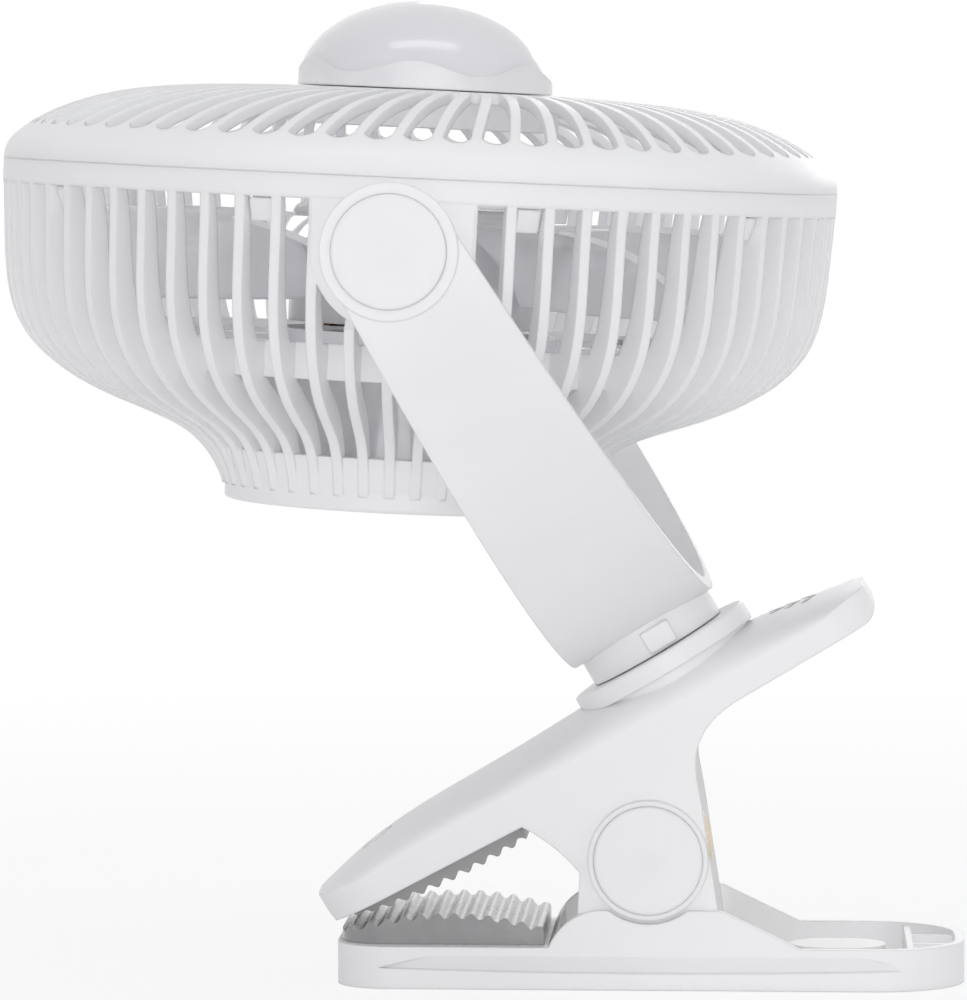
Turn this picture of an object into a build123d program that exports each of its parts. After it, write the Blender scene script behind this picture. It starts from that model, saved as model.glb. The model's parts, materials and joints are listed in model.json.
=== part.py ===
from build123d import *
import os
from math import ceil, cos, pi, radians, sin, sqrt

os.makedirs("parts", exist_ok=True)

# Clip fan lying on its closed clip with the head turned face up.
# X runs along the clip (front, the jaw mouth, is -X), Y across it, Z up.
# The origin is on the resting face, straight under the axis of the clip's hinge.
# Millimetres and degrees.

# ---- clearances ----
running_gap = 0.3        # between faces that move past each other
shaft_clearance = 0.05   # radial, a pin or shaft that turns in its hole
seat_gap = 0.05          # radial, a piece that sits in its pocket
loose_gap = 0.3          # a cover or tray in its opening

# ---- lower jaw ----
clip_front = 71.0        # hinge axis to the mouth end
clip_back = 72.0         # hinge axis to the handle end
clip_half_width = 26.5
clip_floor = 2.0
clip_wall = 2.2
front_corner = 12.0      # plan radii
back_corner = 21.0
hinge_height = 29.4
block_top = 9.6          # flat that carries the lower pad
rim_height = 9.5
shoulder_top = 18.1      # side walls beside the hinge
shoulder_reach = 16.6
slope_end = 34.5         # where the side walls come down to the rim
block_back = -22.5       # rear edge of the pad block
dip_clearance = 0.8      # side wall's arc around the hinge boss
recess_depth = 1.2       # long grip recess in the sides
recess_low = 3.8
recess_high = 7.6
recess_reach = 61.0
lug_half_width = 8.0
lug_thickness = 3.0
cross_wall_x = 58.6
stiffener_y = 7.5
rib_thickness = 1.6
bridge_front = 32.0      # oval bridge over the spring's leg
bridge_back = 54.0
bridge_half_width = 8.5
bridge_y = -6.0
bridge_top = 8.4
leg_channel = 1.9        # half width of the channel under it

# ---- upper jaw, in the frame of its own straight back: u along, s square to it ----
swivel_tilt = 30.8       # the back's slope, and the swivel axis's lean from vertical
jaw_half_width = 24.0
jaw_wall = 2.2
jaw_front = -70.0        # along u from the hinge
jaw_back = 73.6
jaw_lip_front = 23.4     # s of the lower edge at the tip
jaw_lip_back = 20.9      # and at the mouth's rear
jaw_lip_end = -20.9      # u there
jaw_shelf = 24.2         # plate that backs the upper pad
handle_under = 20.8
handle_start = 36.4
jaw_front_corner = 13.0
jaw_back_corner = 13.0
cheek_foot = 12.0        # Z of the cheeks' lower edge
boss_radius = 13.6       # round boss on each cheek
boss_height = 2.0
cap_radius = 12.3
cap_height = 0.9
cap_seat = 1.2
pin_radius = 2.5
# stations along the back: u, height of the side crease, height of the crown, fullness
jaw_sections = (
    (-72.0, 28.8, 30.4, 0.62),
    (-56.0, 29.1, 34.0, 0.62),
    (-36.0, 29.3, 35.5, 0.66),
    (0.0, 27.9, 35.8, 0.75),
    (28.0, 27.2, 35.6, 0.8),
    (47.0, 26.7, 33.4, 0.74),
    (60.0, 26.5, 31.3, 0.7),
    (75.0, 26.5, 28.2, 0.66),
)

# ---- rubber pads ----
pad_half_width = 22.0
pad_front = -70.0
pad_back = -23.6
pad_low_crown = 16.1     # Z of the wave's middle at its highest
pad_low_front = 12.3     # and at its ends
pad_low_back = 12.9
pad_crown_x = -44.0
tooth_pitch = 3.85
tooth_height = 1.4
upper_pad_front = -66.0  # along u
upper_pad_back = -21.6
upper_pad_tip = 17.6     # s of the teeth's tips at the mouth's rear
upper_pad_rise = 5.1     # how much higher they are at the front
upper_pad_half_width = 21.4

# ---- torsion spring ----
wire_radius = 1.3
coil_radius = 13.0       # of the wire's middle
coil_pitch = 3.3
coil_turns = 5
lower_leg_fall = 17.0
upper_leg_rise = 45.0
lower_leg_height = 5.2   # where it runs level under the bridge
lower_leg_end = 56.0
upper_leg_length = 56.0
spool_radius = coil_radius - wire_radius - loose_gap

# ---- swivel ----
swivel_u = 25.0          # swivel axis, along u
disc_top = 38.5          # s of the swivel plate's face
disc_radius = 22.2
disc_thickness = 4.4
neck_radius = 16.6
bolt_radius = 2.5
bolt_head_radius = 5.0
bolt_head_height = 2.6
nut_radius = 4.6
nut_height = 4.0
swivel_boss_radius = 7.0
swivel_boss_length = 6.0
washer_thickness = 0.8

# ---- fork ----
arm_reach = 108.0        # swivel plate's face to the tilt axis
fork_outer = 102.0       # radius of the U about the tilt axis's middle
fork_thickness = 3.2
fork_foot_width = 36.4
fork_end_radius = 14.8
fork_shoulder = 0.8      # how much narrower the arm is than its round end
fork_step = 0.3          # how far the round end stands out round the arm's own end
fork_end_face = 103.4    # Y of the round ends
pivot_cap_radius = 12.3
pivot_cap_height = 1.4
fork_pad_radius = 10.5   # round pad inside each arm's end
fork_pad_face = 97.5
pivot_washer_thickness = 1.0
pivot_screw_radius = 2.5
pivot_head_radius = 5.0
pivot_head_height = 1.8
pivot_plate = 2.7        # fork's thickness under the screw's head

# ---- head, in its own frame: origin in the seam plane, a along its axis, face up ----
head_tilt = 2.63
seam_above_pivot = 15.7
head_radius = 95.3
band_height = 5.3        # plain band under the seam
band_thickness = 3.2
cage_positions = 70      # fins and slots around the head
fin_thickness = 2.3
neck_half_width = 39.6
neck_offset = 24.0       # the neck's round ends are this far out along Y
neck_bottom = -73.8
neck_wall_top = -61.8
neck_wall = 2.0
# fin outlines: half width of the head's section, level
fin_outer = ((94.0, -22.0), (89.6, -37.5), (78.0, -47.6), (61.0, -54.5),
             (47.1, -60.5), (41.3, -67.0), (39.7, -70.5))
fin_inner_top = ((91.6, -3.0), (88.0, -14.0), (85.2, -27.0), (79.0, -36.5))
fin_inner_low = ((59.0, -48.6), (47.5, -53.6), (40.0, -60.5), (38.6, -66.0))
deck_half_width = 72.5
deck_top = -36.5
deck_bottom = -44.4
deck_rim = 2.5
deck_ledge = 3.0
deck_ledge_level = -40.4
panel_radius = 17.5      # solid panel around each tilt pivot
panel_thickness = 3.0
pivot_boss_radius = 7.5
pivot_boss_face = 96.2
pivot_boss_inner = 85.0
insert_radius = 4.0
insert_inner = 86.5
insert_outer = 94.0
hook_count = 10
hook_width = 5.0
hook_length = 10.6
hook_thickness = 1.8

# ---- front grille ----
grille_profile = ((95.0, 2.5), (91.4, 7.0), (84.0, 11.6), (78.3, 14.0), (68.6, 16.6), (50.0, 18.8))
grille_crown = 19.4
grille_flat_radius = 31.0
grille_wall = 2.4
grille_slots = 66
slot_outer = 88.4
slot_inner = 47.0
slot_rib = 2.3
inner_slots = 33
inner_slot_outer = 43.5
inner_slot_inner = 33.5
slot_swirl = 13.0        # degrees that a rib leans from its outer to its inner end
pod_radius = 31.0        # cup under the grille's middle
pod_bottom = 11.0

# ---- dial and lamp ----
dial_ridge_radius = 29.3
dial_flute_radius = 27.6
dial_lobes = 6
dial_rest_angle = 2.0
dial_height = 6.8
dial_wall = 2.0
dial_web = 1.6
dial_hub_height = 3.6
dial_lip = 0.6
dome_half_width = 29.0
dome_rise = 19.5
dome_base = 20.5
dome_wall = 1.6
post_radius = 8.0
post_flange_radius = 12.0
lamp_board_radius = 19.0
board_thickness = 1.6
lamp_level = 25.2        # underside of the lamp board
led_count = 12
led_ring_radius = 14.5
encoder_radius = 15.0

# ---- impeller and motor ----
blade_count = 7
blade_tip_radius = 82.0
hub_radius = 29.0
hub_top = -7.0
hub_bottom = -34.0
hub_wall = 1.8
blade_thickness = 1.6
blade_root_pitch = 42.0
blade_tip_pitch = 24.0
blade_root_chord = 26.0
blade_tip_chord = 44.0
blade_middle = -19.5     # level of the blades' middle
can_wall = 1.0
magnet_thickness = 2.2
air_gap = 0.6
stator_height = 12.0
stator_bottom = -33.0
stator_poles = 9
shaft_radius = 2.0
bearing_clearance = 0.02
bearing_outer = 5.0
bearing_width = 2.5
bearing_tube_radius = 7.0
motor_deck_thickness = 2.0
motor_seat_radius = 33.0
spoke_width = 7.0
spoke_count = 6

# ---- power and controls in the neck ----
compartment_wall = 1.6
cell_radius = 9.15
cell_length = 65.0
cell_count = 3
cell_pitch = 18.5
tray_thickness = 1.4
board_half_width = 26.0
board_half_length = 48.0
board_drop = 1.6         # tray to board
cover_thickness = 2.2
cover_post_radius = 3.0
cover_post_x = 31.6
cover_post_y = 20.0
small_screw_radius = 1.3
small_head_radius = 2.4
power_button_radius = 7.0
light_button_radius = 5.0
power_button_y = 0.0
light_button_y = -22.0
button_travel = 0.6
button_stand = 1.0       # how far a key stands out of the cover
switch_height = 2.4
usb_width = 9.0
usb_thickness = 3.3
usb_y = 40.0
indicator_y = 22.0
indicator_length = 14.0
indicator_width = 3.0


# ---- frames ----
def jaw_point(u, s):
    """World X and Z of a point in the upper jaw's frame."""
    lean = radians(swivel_tilt)
    return (u * cos(lean) - s * sin(lean), hinge_height + u * sin(lean) + s * cos(lean))


def to_jaw(x, z):
    lean = radians(swivel_tilt)
    z = z - hinge_height
    return (x * cos(lean) + z * sin(lean), -x * sin(lean) + z * cos(lean))


lean_x = (cos(radians(swivel_tilt)), 0, sin(radians(swivel_tilt)))
lean_z = (-sin(radians(swivel_tilt)), 0, cos(radians(swivel_tilt)))
jaw_frame = Plane(origin=(0, 0, hinge_height), x_dir=lean_x, z_dir=lean_z).location
disc_x, disc_z = jaw_point(swivel_u, disc_top)
swivel_frame = Plane(origin=(disc_x, 0, disc_z), x_dir=lean_x, z_dir=lean_z).location
pivot_x = disc_x - arm_reach * sin(radians(swivel_tilt))
pivot_z = disc_z + arm_reach * cos(radians(swivel_tilt))
tilt = radians(head_tilt)
seam_x = pivot_x + seam_above_pivot * sin(tilt)
seam_z = pivot_z + seam_above_pivot * cos(tilt)
head_frame = Plane(origin=(seam_x, 0, seam_z), x_dir=(cos(tilt), 0, -sin(tilt)),
                   z_dir=(sin(tilt), 0, cos(tilt))).location
pivot_level = -seam_above_pivot


# ---- helpers ----
def prism_across(face, half_width):
    """Extrude a face drawn in X and Z to both sides along Y."""
    return extrude(Plane.XZ * face, amount=half_width, both=True)


def rod_along_y(radius, y0, y1, x=0.0, z=0.0):
    rod = Plane(origin=(x, y0, z), x_dir=(1, 0, 0), z_dir=(0, 1, 0)) * Circle(radius)
    return extrude(rod, amount=y1 - y0)


def rod(radius, z0, z1, x=0.0, y=0.0):
    return extrude(Pos(x, y, z0) * Circle(radius), amount=z1 - z0)


def tube(outer, inner, z0, z1, x=0.0, y=0.0):
    return rod(outer, z0, z1, x, y) - rod(inner, z0 - 1, z1 + 1, x, y)


def block(x0, x1, y0, y1, z0, z1):
    return Pos((x0 + x1) / 2, (y0 + y1) / 2, (z0 + z1) / 2) * Box(x1 - x0, y1 - y0, z1 - z0)


def joined(first, others):
    """One solid out of many overlapping ones."""
    return first.fuse(*others) if others else first


def save(name, shape, frame=None):
    solids = list(shape.solids()) if not isinstance(shape, (list, tuple)) else [
        solid for piece in shape for solid in piece.solids()]
    if frame is not None:
        solids = [frame * solid for solid in solids]
    whole = solids[0] if len(solids) == 1 else Compound(children=solids)
    export_step(whole, f"parts/{name}.step")
    volume = sum(solid.volume for solid in solids)
    print(f"{name}: {len(solids)} solid(s), {volume / 1000:.2f} cm3")


# ---- lower jaw ----
def rounded_plan(x0, x1, half_width, front_radius, back_radius, inset):
    """Rectangle in plan with its own corner radius at each end, drawn in by an inset."""
    plan = Pos((x0 + x1) / 2, 0) * Rectangle(x1 - x0 - 2 * inset, 2 * (half_width - inset))
    plan = fillet(plan.vertices().sort_by(Axis.X)[:2], front_radius - inset)
    ends = plan.vertices().filter_by(lambda v: abs(v.X - x1 + inset) < 0.01)
    return fillet(ends, back_radius - inset)


def clip_plan(inset=0.0):
    return rounded_plan(-clip_front, clip_back, clip_half_width, front_corner, back_corner, inset)


def side_profile():
    dip = boss_radius + dip_clearance
    reach = sqrt(dip ** 2 - (hinge_height - shoulder_top) ** 2)
    front, back = -clip_front - 1, clip_back + 1
    rise_end = -shoulder_reach + 5
    edges = [
        Line((front, 0), (front, block_top)),
        Line((front, block_top), (block_back, block_top)),
        ThreePointArc((block_back, block_top), (-18.4, 15.2), (rise_end, shoulder_top)),
        Line((rise_end, shoulder_top), (-reach, shoulder_top)),
        ThreePointArc((-reach, shoulder_top), (0, hinge_height - dip), (reach, shoulder_top)),
        Line((reach, shoulder_top), (shoulder_reach, shoulder_top)),
        Line((shoulder_reach, shoulder_top), (slope_end, rim_height)),
        Line((slope_end, rim_height), (back, rim_height)),
        Line((back, rim_height), (back, 0)),
        Line((back, 0), (front, 0)),
    ]
    return make_face(edges)


lug_outer_y = jaw_half_width - jaw_wall - running_gap
lug_inner_y = lug_outer_y - lug_thickness


def lower_jaw():
    outline = clip_plan()
    body = extrude(outline, shoulder_top + 1) & prism_across(side_profile(), clip_half_width + 1)
    inner = Pos(0, 0, clip_floor) * extrude(clip_plan(clip_wall), shoulder_top + 1)
    well = block(block_back + clip_wall, clip_back, -clip_half_width, clip_half_width,
                 clip_floor, shoulder_top + 2)
    under_pad = block(-clip_front, block_back + clip_wall + 1, -clip_half_width, clip_half_width,
                      clip_floor, block_top - clip_wall)
    body -= inner & (well + under_pad)
    # long grip recess in each side: a lens that undercuts towards its lower edge
    lens = make_face([
        ThreePointArc((-recess_reach, recess_low + 1), (0, recess_low), (recess_reach, recess_low + 1)),
        Line((recess_reach, recess_low + 1), (recess_reach - 12, recess_high)),
        Line((recess_reach - 12, recess_high), (-recess_reach + 12, recess_high)),
        Line((-recess_reach + 12, recess_high), (-recess_reach, recess_low + 1)),
    ])
    wedge = make_face(Polyline((clip_half_width + 1, recess_high), (clip_half_width, recess_high),
                               (clip_half_width - recess_depth, recess_low),
                               (clip_half_width - recess_depth, recess_low - 2),
                               (clip_half_width + 1, recess_low - 2), close=True))
    undercut = extrude(Plane.YZ * wedge, amount=clip_front, both=True)
    recess = undercut & prism_across(lens, clip_half_width + 2)
    body = body - recess - mirror(recess, Plane.XZ)
    # lugs that carry the pin
    lug_foot = clip_floor / 2
    lug_face = (Pos(0, hinge_height) * Circle(lug_half_width)
                + Pos(0, (hinge_height + lug_foot) / 2)
                * Rectangle(2 * lug_half_width, hinge_height - lug_foot))
    for side in (-1, 1):
        y0, y1 = sorted((side * lug_inner_y, side * lug_outer_y))
        lug = extrude(Plane.XZ.offset(-y1) * lug_face, amount=y1 - y0)
        body += lug
    body -= rod_along_y(pin_radius, -40, 40, 0, hinge_height)
    # cross wall, two stiffeners behind it, and the bridge over the spring's leg
    end_inner = clip_back - clip_wall
    inside = extrude(clip_plan(clip_wall - 0.01), rim_height - 0.7)
    cross = block(cross_wall_x, cross_wall_x + rib_thickness, -clip_half_width, clip_half_width,
                  clip_floor, rim_height - 0.7)
    stiffeners = [block(cross_wall_x, end_inner + 0.5, side * stiffener_y - rib_thickness / 2,
                        side * stiffener_y + rib_thickness / 2, clip_floor, rim_height - 0.9)
                  for side in (-1, 1)]
    body = joined(body, [(cross + stiffeners[0] + stiffeners[1]) & inside])
    oval = SlotOverall(bridge_back - bridge_front, 2 * bridge_half_width)
    bridge = Pos((bridge_front + bridge_back) / 2, bridge_y, clip_floor) * extrude(
        oval, bridge_top - clip_floor)
    channel = block(bridge_front - 5, bridge_back + 5, lower_leg_y - leg_channel,
                    lower_leg_y + leg_channel, clip_floor, lower_leg_height + wire_radius + 0.4)
    body += bridge - channel
    return body


def lower_teeth(x):
    """Height of the lower pad's toothed face at x."""
    end = pad_front if x < pad_crown_x else pad_back
    low = pad_low_front if x < pad_crown_x else pad_low_back
    fall = ((x - pad_crown_x) / (end - pad_crown_x)) ** 2
    tooth = tooth_height / 2 * cos(2 * pi * (x - pad_crown_x) / tooth_pitch)
    return pad_low_crown - (pad_low_crown - low) * fall + tooth


def upper_teeth(u):
    """Height of the upper pad's toothed face at u."""
    share = (u - upper_pad_back) / (upper_pad_front - upper_pad_back)
    tooth = tooth_height / 2 * (1 + cos(2 * pi * u / tooth_pitch))
    return upper_pad_tip + upper_pad_rise * abs(share) ** 2.5 + tooth * (1 - 0.6 * abs(share) ** 4)


def toothed_edge(x0, x1, height):
    """Smooth wavy line from x0 to x1, four points to a tooth."""
    count = int(ceil((x1 - x0) / tooth_pitch * 4))
    step = (x1 - x0) / count
    return Spline(*[(x0 + i * step, height(x0 + i * step)) for i in range(count + 1)])


def lower_jaw_pad():
    height = lower_teeth
    top = toothed_edge(pad_front, pad_back, height)
    low = block_top
    edges = [top, Line((pad_back, height(pad_back)), (pad_back, low)),
             Line((pad_back, low), (pad_front, low)),
             Line((pad_front, low), (pad_front, height(pad_front)))]
    pad = prism_across(make_face(edges), pad_half_width)
    plan = Pos((pad_front + pad_back) / 2, 0) * Rectangle(pad_back - pad_front, 2 * pad_half_width)
    plan = fillet(plan.vertices().sort_by(Axis.X)[:2], front_corner - 3)
    return pad & extrude(plan, 40)


def upper_jaw_pad():
    back_face = jaw_shelf
    height = upper_teeth
    teeth = toothed_edge(upper_pad_front, upper_pad_back, height)
    edges = [teeth, Line((upper_pad_back, height(upper_pad_back)), (upper_pad_back, back_face)),
             Line((upper_pad_back, back_face), (upper_pad_front, back_face)),
             Line((upper_pad_front, back_face), (upper_pad_front, height(upper_pad_front)))]
    pad = prism_across(make_face(edges), upper_pad_half_width)
    plan = Pos((upper_pad_front + upper_pad_back) / 2, 0) * Rectangle(
        upper_pad_back - upper_pad_front, 2 * upper_pad_half_width)
    plan = fillet(plan.vertices().sort_by(Axis.X)[:2], jaw_front_corner - 4)
    return pad & extrude(plan, 60)


# ---- torsion spring ----
def coil_state(turned):
    """Point and direction on the coil after turning this many degrees from the lower leg."""
    angle = radians(270 - lower_leg_fall - turned)
    total = coil_turns * 360 + 270 - lower_leg_fall - (90 + upper_leg_rise)
    y = coil_pitch * (turned - total / 2) / 360
    point = Vector(coil_radius * cos(angle), y, hinge_height + coil_radius * sin(angle))
    heading = Vector(coil_radius * sin(angle), coil_pitch / (2 * pi), -coil_radius * cos(angle))
    return point, heading.normalized(), total


def biarc(p0, t0, p1, t1):
    """Two arcs that join p0 to p1 with the given directions."""
    chord = p1 - p0
    sum_t = t0 + t1
    across = 2 * (1 - t0.dot(t1))
    along = chord.dot(sum_t)
    reach = (-along + sqrt(along ** 2 + across * chord.dot(chord))) / across
    q0 = p0 + t0 * reach
    q1 = p1 - t1 * reach
    middle = (q0 + q1) * 0.5
    return [Edge.make_tangent_arc(p0, t0, middle), Edge.make_tangent_arc(middle, q1 - q0, p1)]


lower_leg_start, lower_leg_heading, coil_total = coil_state(0)
lower_out = lower_leg_heading * -1
level_run = (lower_leg_start.Z - lower_leg_height) / abs(lower_out.Z)
lower_leg_y = lower_leg_start.Y + lower_out.Y * level_run


def clip_spring():
    quarters = int(ceil(coil_total / 90))
    step = coil_total / quarters
    edges = []
    for i in range(quarters):
        p0, t0, _ = coil_state(i * step)
        p1, t1, _ = coil_state((i + 1) * step)
        edges += biarc(p0, t0, p1, t1)
    # lower leg: straight to just short of the corner, one arc, then level along the base
    corner = lower_leg_start + lower_out * level_run
    level = Vector(1, 0, 0)
    easing = 4.0
    bend_start = corner - lower_out * easing
    bend_end = corner + level * easing
    edges.append(Edge.make_line(lower_leg_start, bend_start))
    edges.append(Edge.make_tangent_arc(bend_start, lower_out, bend_end))
    edges.append(Edge.make_line(bend_end, Vector(lower_leg_end, bend_end.Y, bend_end.Z)))
    top, heading, _ = coil_state(coil_total)
    edges.append(Edge.make_line(top, top + heading * upper_leg_length))
    path = Wire(edges)
    section = Plane(origin=path @ 0, z_dir=path % 0) * Circle(wire_radius)
    # least distance between strands half a turn or more apart along the wire
    samples = 40 * (coil_turns + 1)
    points = [coil_state(coil_total * i / samples)[0] for i in range(samples + 1)]
    apart = int(samples * 180 / coil_total)
    least = min((points[i] - points[j]).length for i in range(len(points))
                for j in range(i + apart, len(points)))
    print(f"clip_spring: least gap to itself {least - 2 * wire_radius:.2f} mm")
    return sweep(section, path=path)


# ---- upper jaw ----
def crown_section(u, crease, crown, fullness, half_width, foot):
    """Cross-section of the back: flat sides up to the crease, then a full crown."""
    shoulder = crease + (crown - crease) * fullness
    left, right = (-half_width, crease), (half_width, crease)
    face = make_face([
        Bezier(left, (-half_width, shoulder), (-half_width * (1 - fullness), crown), (0, crown)),
        Bezier((0, crown), (half_width * (1 - fullness), crown), (half_width, shoulder), right),
        Line(right, (half_width, foot)),
        Line((half_width, foot), (-half_width, foot)),
        Line((-half_width, foot), left),
    ])
    return Plane(origin=(u, 0, 0), x_dir=(0, 1, 0), z_dir=(1, 0, 0)) * face


def crown_loft(inset, foot):
    sections = [crown_section(u, crease - inset, crown - inset, fullness, jaw_half_width - inset, foot)
                for u, crease, crown, fullness in jaw_sections]
    return loft(sections)


def jaw_plan(inset=0.0):
    return rounded_plan(jaw_front, jaw_back, jaw_half_width, jaw_front_corner, jaw_back_corner, inset)


mouth_middle = (-16.6, 12.2)
mouth_foot = (-14.9, 5.3)


def mouth_arc():
    """Rear of the mouth, from the lower edge down to the cheek."""
    return ThreePointArc((jaw_lip_end, jaw_lip_back), mouth_middle, mouth_foot)


def jaw_side():
    top = 60
    foot_front = to_jaw(-16.3, cheek_foot)
    foot_back = to_jaw(16.7, cheek_foot)
    waist_low = to_jaw(12.2, 41.0)
    waist = to_jaw(10.7, 51.5)
    nose = 27.0
    up = Vector(*waist_low) - Vector(*foot_back)
    edges = [
        Line((jaw_front + 0.9, jaw_lip_front), (jaw_lip_end, jaw_lip_back)),
        mouth_arc(),
        Line(mouth_foot, foot_front),
        Line(foot_front, foot_back),
        Line(foot_back, waist_low),
        Spline(waist_low, waist, (handle_start, handle_under), tangents=((up.X, up.Y), (1, 0))),
        Line((handle_start, handle_under), (jaw_back - 4.4, handle_under)),
        TangentArc((jaw_back - 4.4, handle_under), (jaw_back, handle_under + 3.4), tangent=(1, 0)),
        Line((jaw_back, handle_under + 3.4), (jaw_back - 3, top)),
        Line((jaw_back - 3, top), (jaw_front + 2, top)),
        Line((jaw_front + 2, top), (jaw_front, nose)),
        Line((jaw_front, nose), (jaw_front + 0.9, jaw_lip_front)),
    ]
    return make_face(edges)


def upper_jaw():
    deep = -45
    body = crown_loft(0, deep) & prism_across(jaw_side(), jaw_half_width + 1)
    body &= Pos(0, 0, deep) * extrude(jaw_plan(), 120)
    hollow = crown_loft(jaw_wall, deep - 1) & Pos(0, 0, deep - 2) * extrude(jaw_plan(jaw_wall), 130)
    wall_y = jaw_half_width
    # chamber over the pad's shelf, the pad's pocket under it, and the open hinge and handle space
    chamber = block(jaw_front, jaw_lip_end, -wall_y, wall_y, jaw_shelf + jaw_wall, 60)
    pocket = block(jaw_front, upper_pad_back + loose_gap, -wall_y, wall_y, 0, jaw_shelf)
    # the mouth's rear wall thins out to nothing above the coil
    wall_top = (jaw_lip_end + jaw_wall, jaw_lip_back + jaw_wall)
    wall_low = (mouth_foot[0] - 0.4, mouth_foot[1] + 1.9)
    rear = make_face([
        ThreePointArc(wall_top, (mouth_middle[0] + 1.5, mouth_middle[1] + 1.5), wall_low),
        Polyline(wall_low, (-30, -12), (-30, deep), (90, deep), (90, 60), (wall_top[0], 60), wall_top),
    ])
    body -= hollow & (chamber + pocket + prism_across(rear, wall_y))
    # seat of the swivel plate, with the boss that its bolt runs in
    seat = disc_top - disc_thickness
    body += rod(disc_radius - 1.5, seat - jaw_wall - 0.6, seat, swivel_u) & Pos(0, 0, deep) * extrude(
        jaw_plan(jaw_wall / 2), 120)
    body += rod(swivel_boss_radius, seat - swivel_boss_length, seat, swivel_u)
    body -= rod(disc_radius + seat_gap, seat, 60, swivel_u)
    body -= rod(bolt_radius + shaft_clearance, 0, 60, swivel_u)
    for angle in range(90, 450, 120):
        x = swivel_u + plate_screw_circle * cos(radians(angle))
        y = plate_screw_circle * sin(radians(angle))
        body -= rod(small_screw_radius, seat - 10, seat + 1, x, y)
    # ledge that the spring's upper leg bears on
    end = leg_tip
    ledge = block(end[0] - 5, end[0] - 1, end[1] - 5, end[1] + 5, end[2] + wire_radius + 0.1, 40)
    body += ledge & crown_loft(jaw_wall / 2, deep)
    # bosses on the cheeks, and the pin's holes
    for side in (-1, 1):
        y0, y1 = sorted((side * (jaw_half_width - 0.5), side * (jaw_half_width + boss_height)))
        body += rod_along_y(boss_radius, y0, y1)
        y0, y1 = sorted((side * (jaw_half_width + boss_height - cap_seat), side * 40))
        body -= rod_along_y(cap_radius + seat_gap, y0, y1)
    body -= rod_along_y(pin_radius + shaft_clearance, -40, 40)
    return body


plate_screw_circle = 12.5


def upper_leg_tip():
    top, heading, _ = coil_state(coil_total)
    tip = top + heading * upper_leg_length
    u, s = to_jaw(tip.X, tip.Z)
    return (u, tip.Y, s)


leg_tip = upper_leg_tip()


def hinge_cap(side):
    inner = jaw_half_width + boss_height - cap_seat
    outer = jaw_half_width + boss_height + cap_height - 0.3
    y0, y1 = sorted((side * inner, side * outer))
    cap = rod_along_y(cap_radius, y0, y1)
    rim = cap.edges().filter_by(GeomType.CIRCLE).sort_by(Axis.Y)[-1 if side > 0 else 0]
    cap = fillet(rim, 0.6)
    end = pin_end + 0.2
    y0, y1 = sorted((side * (inner - 1), side * end))
    return cap - rod_along_y(pin_radius + 0.2, y0, y1)


pin_end = jaw_half_width + boss_height - cap_seat + 0.4


def hinge_pin():
    return rod_along_y(pin_radius, -pin_end, pin_end, 0, hinge_height)


def spring_spool():
    half = lug_inner_y - 0.1
    body = rod_along_y(spool_radius, -half, half, 0, hinge_height)
    return body - rod_along_y(pin_radius + seat_gap, -half - 1, half + 1, 0, hinge_height)


# ---- swivel ----
def swivel_plate():
    seat = disc_top - disc_thickness
    body = rod(disc_radius, seat, disc_top, swivel_u)
    body = fillet(body.edges().filter_by(GeomType.CIRCLE).sort_by(Axis.Z)[-1], 0.6)
    body -= rod(bolt_radius + shaft_clearance, 0, 60, swivel_u)
    for angle in range(90, 450, 120):
        x = swivel_u + plate_screw_circle * cos(radians(angle))
        y = plate_screw_circle * sin(radians(angle))
        body -= rod(small_screw_radius, seat - 1, seat + 3, x, y)
    return body


def plate_screws():
    seat = disc_top - disc_thickness
    under = seat - jaw_wall - 0.6
    screws = []
    for angle in range(90, 450, 120):
        x = swivel_u + plate_screw_circle * cos(radians(angle))
        y = plate_screw_circle * sin(radians(angle))
        screws.append(rod(small_screw_radius, under - 0.5, seat + 2.8, x, y)
                      + rod(small_head_radius, under - 1.6, under, x, y))
    return screws


# swivel bolt, washers and nut, in the swivel's frame: the plate's face is at zero
strip_bottom = arm_reach - fork_outer
bolt_seat = strip_bottom + fork_thickness
boss_under = -disc_thickness - swivel_boss_length


def swivel_bolt():
    end = boss_under - 2 * washer_thickness - running_gap - nut_height - 1
    body = rod(bolt_radius, end, bolt_seat + 0.2)
    head = rod(bolt_head_radius, bolt_seat, bolt_seat + bolt_head_height)
    head = fillet(head.edges().filter_by(GeomType.CIRCLE).sort_by(Axis.Z)[-1], 0.8)
    socket = Pos(0, 0, bolt_seat + 1) * extrude(RegularPolygon(1.9, 6), 5)
    return body + head - socket


def swivel_washers():
    top = boss_under - running_gap
    return [tube(nut_radius + 1.2, bolt_radius + seat_gap, top - (i + 1) * washer_thickness,
                 top - i * washer_thickness - 0.02) for i in range(2)]


def swivel_nut():
    top = boss_under - running_gap - 2 * washer_thickness
    body = Pos(0, 0, top - nut_height) * extrude(RegularPolygon(nut_radius, 6), nut_height - 0.02)
    return body - rod(bolt_radius, top - 10, top + 1)


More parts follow.
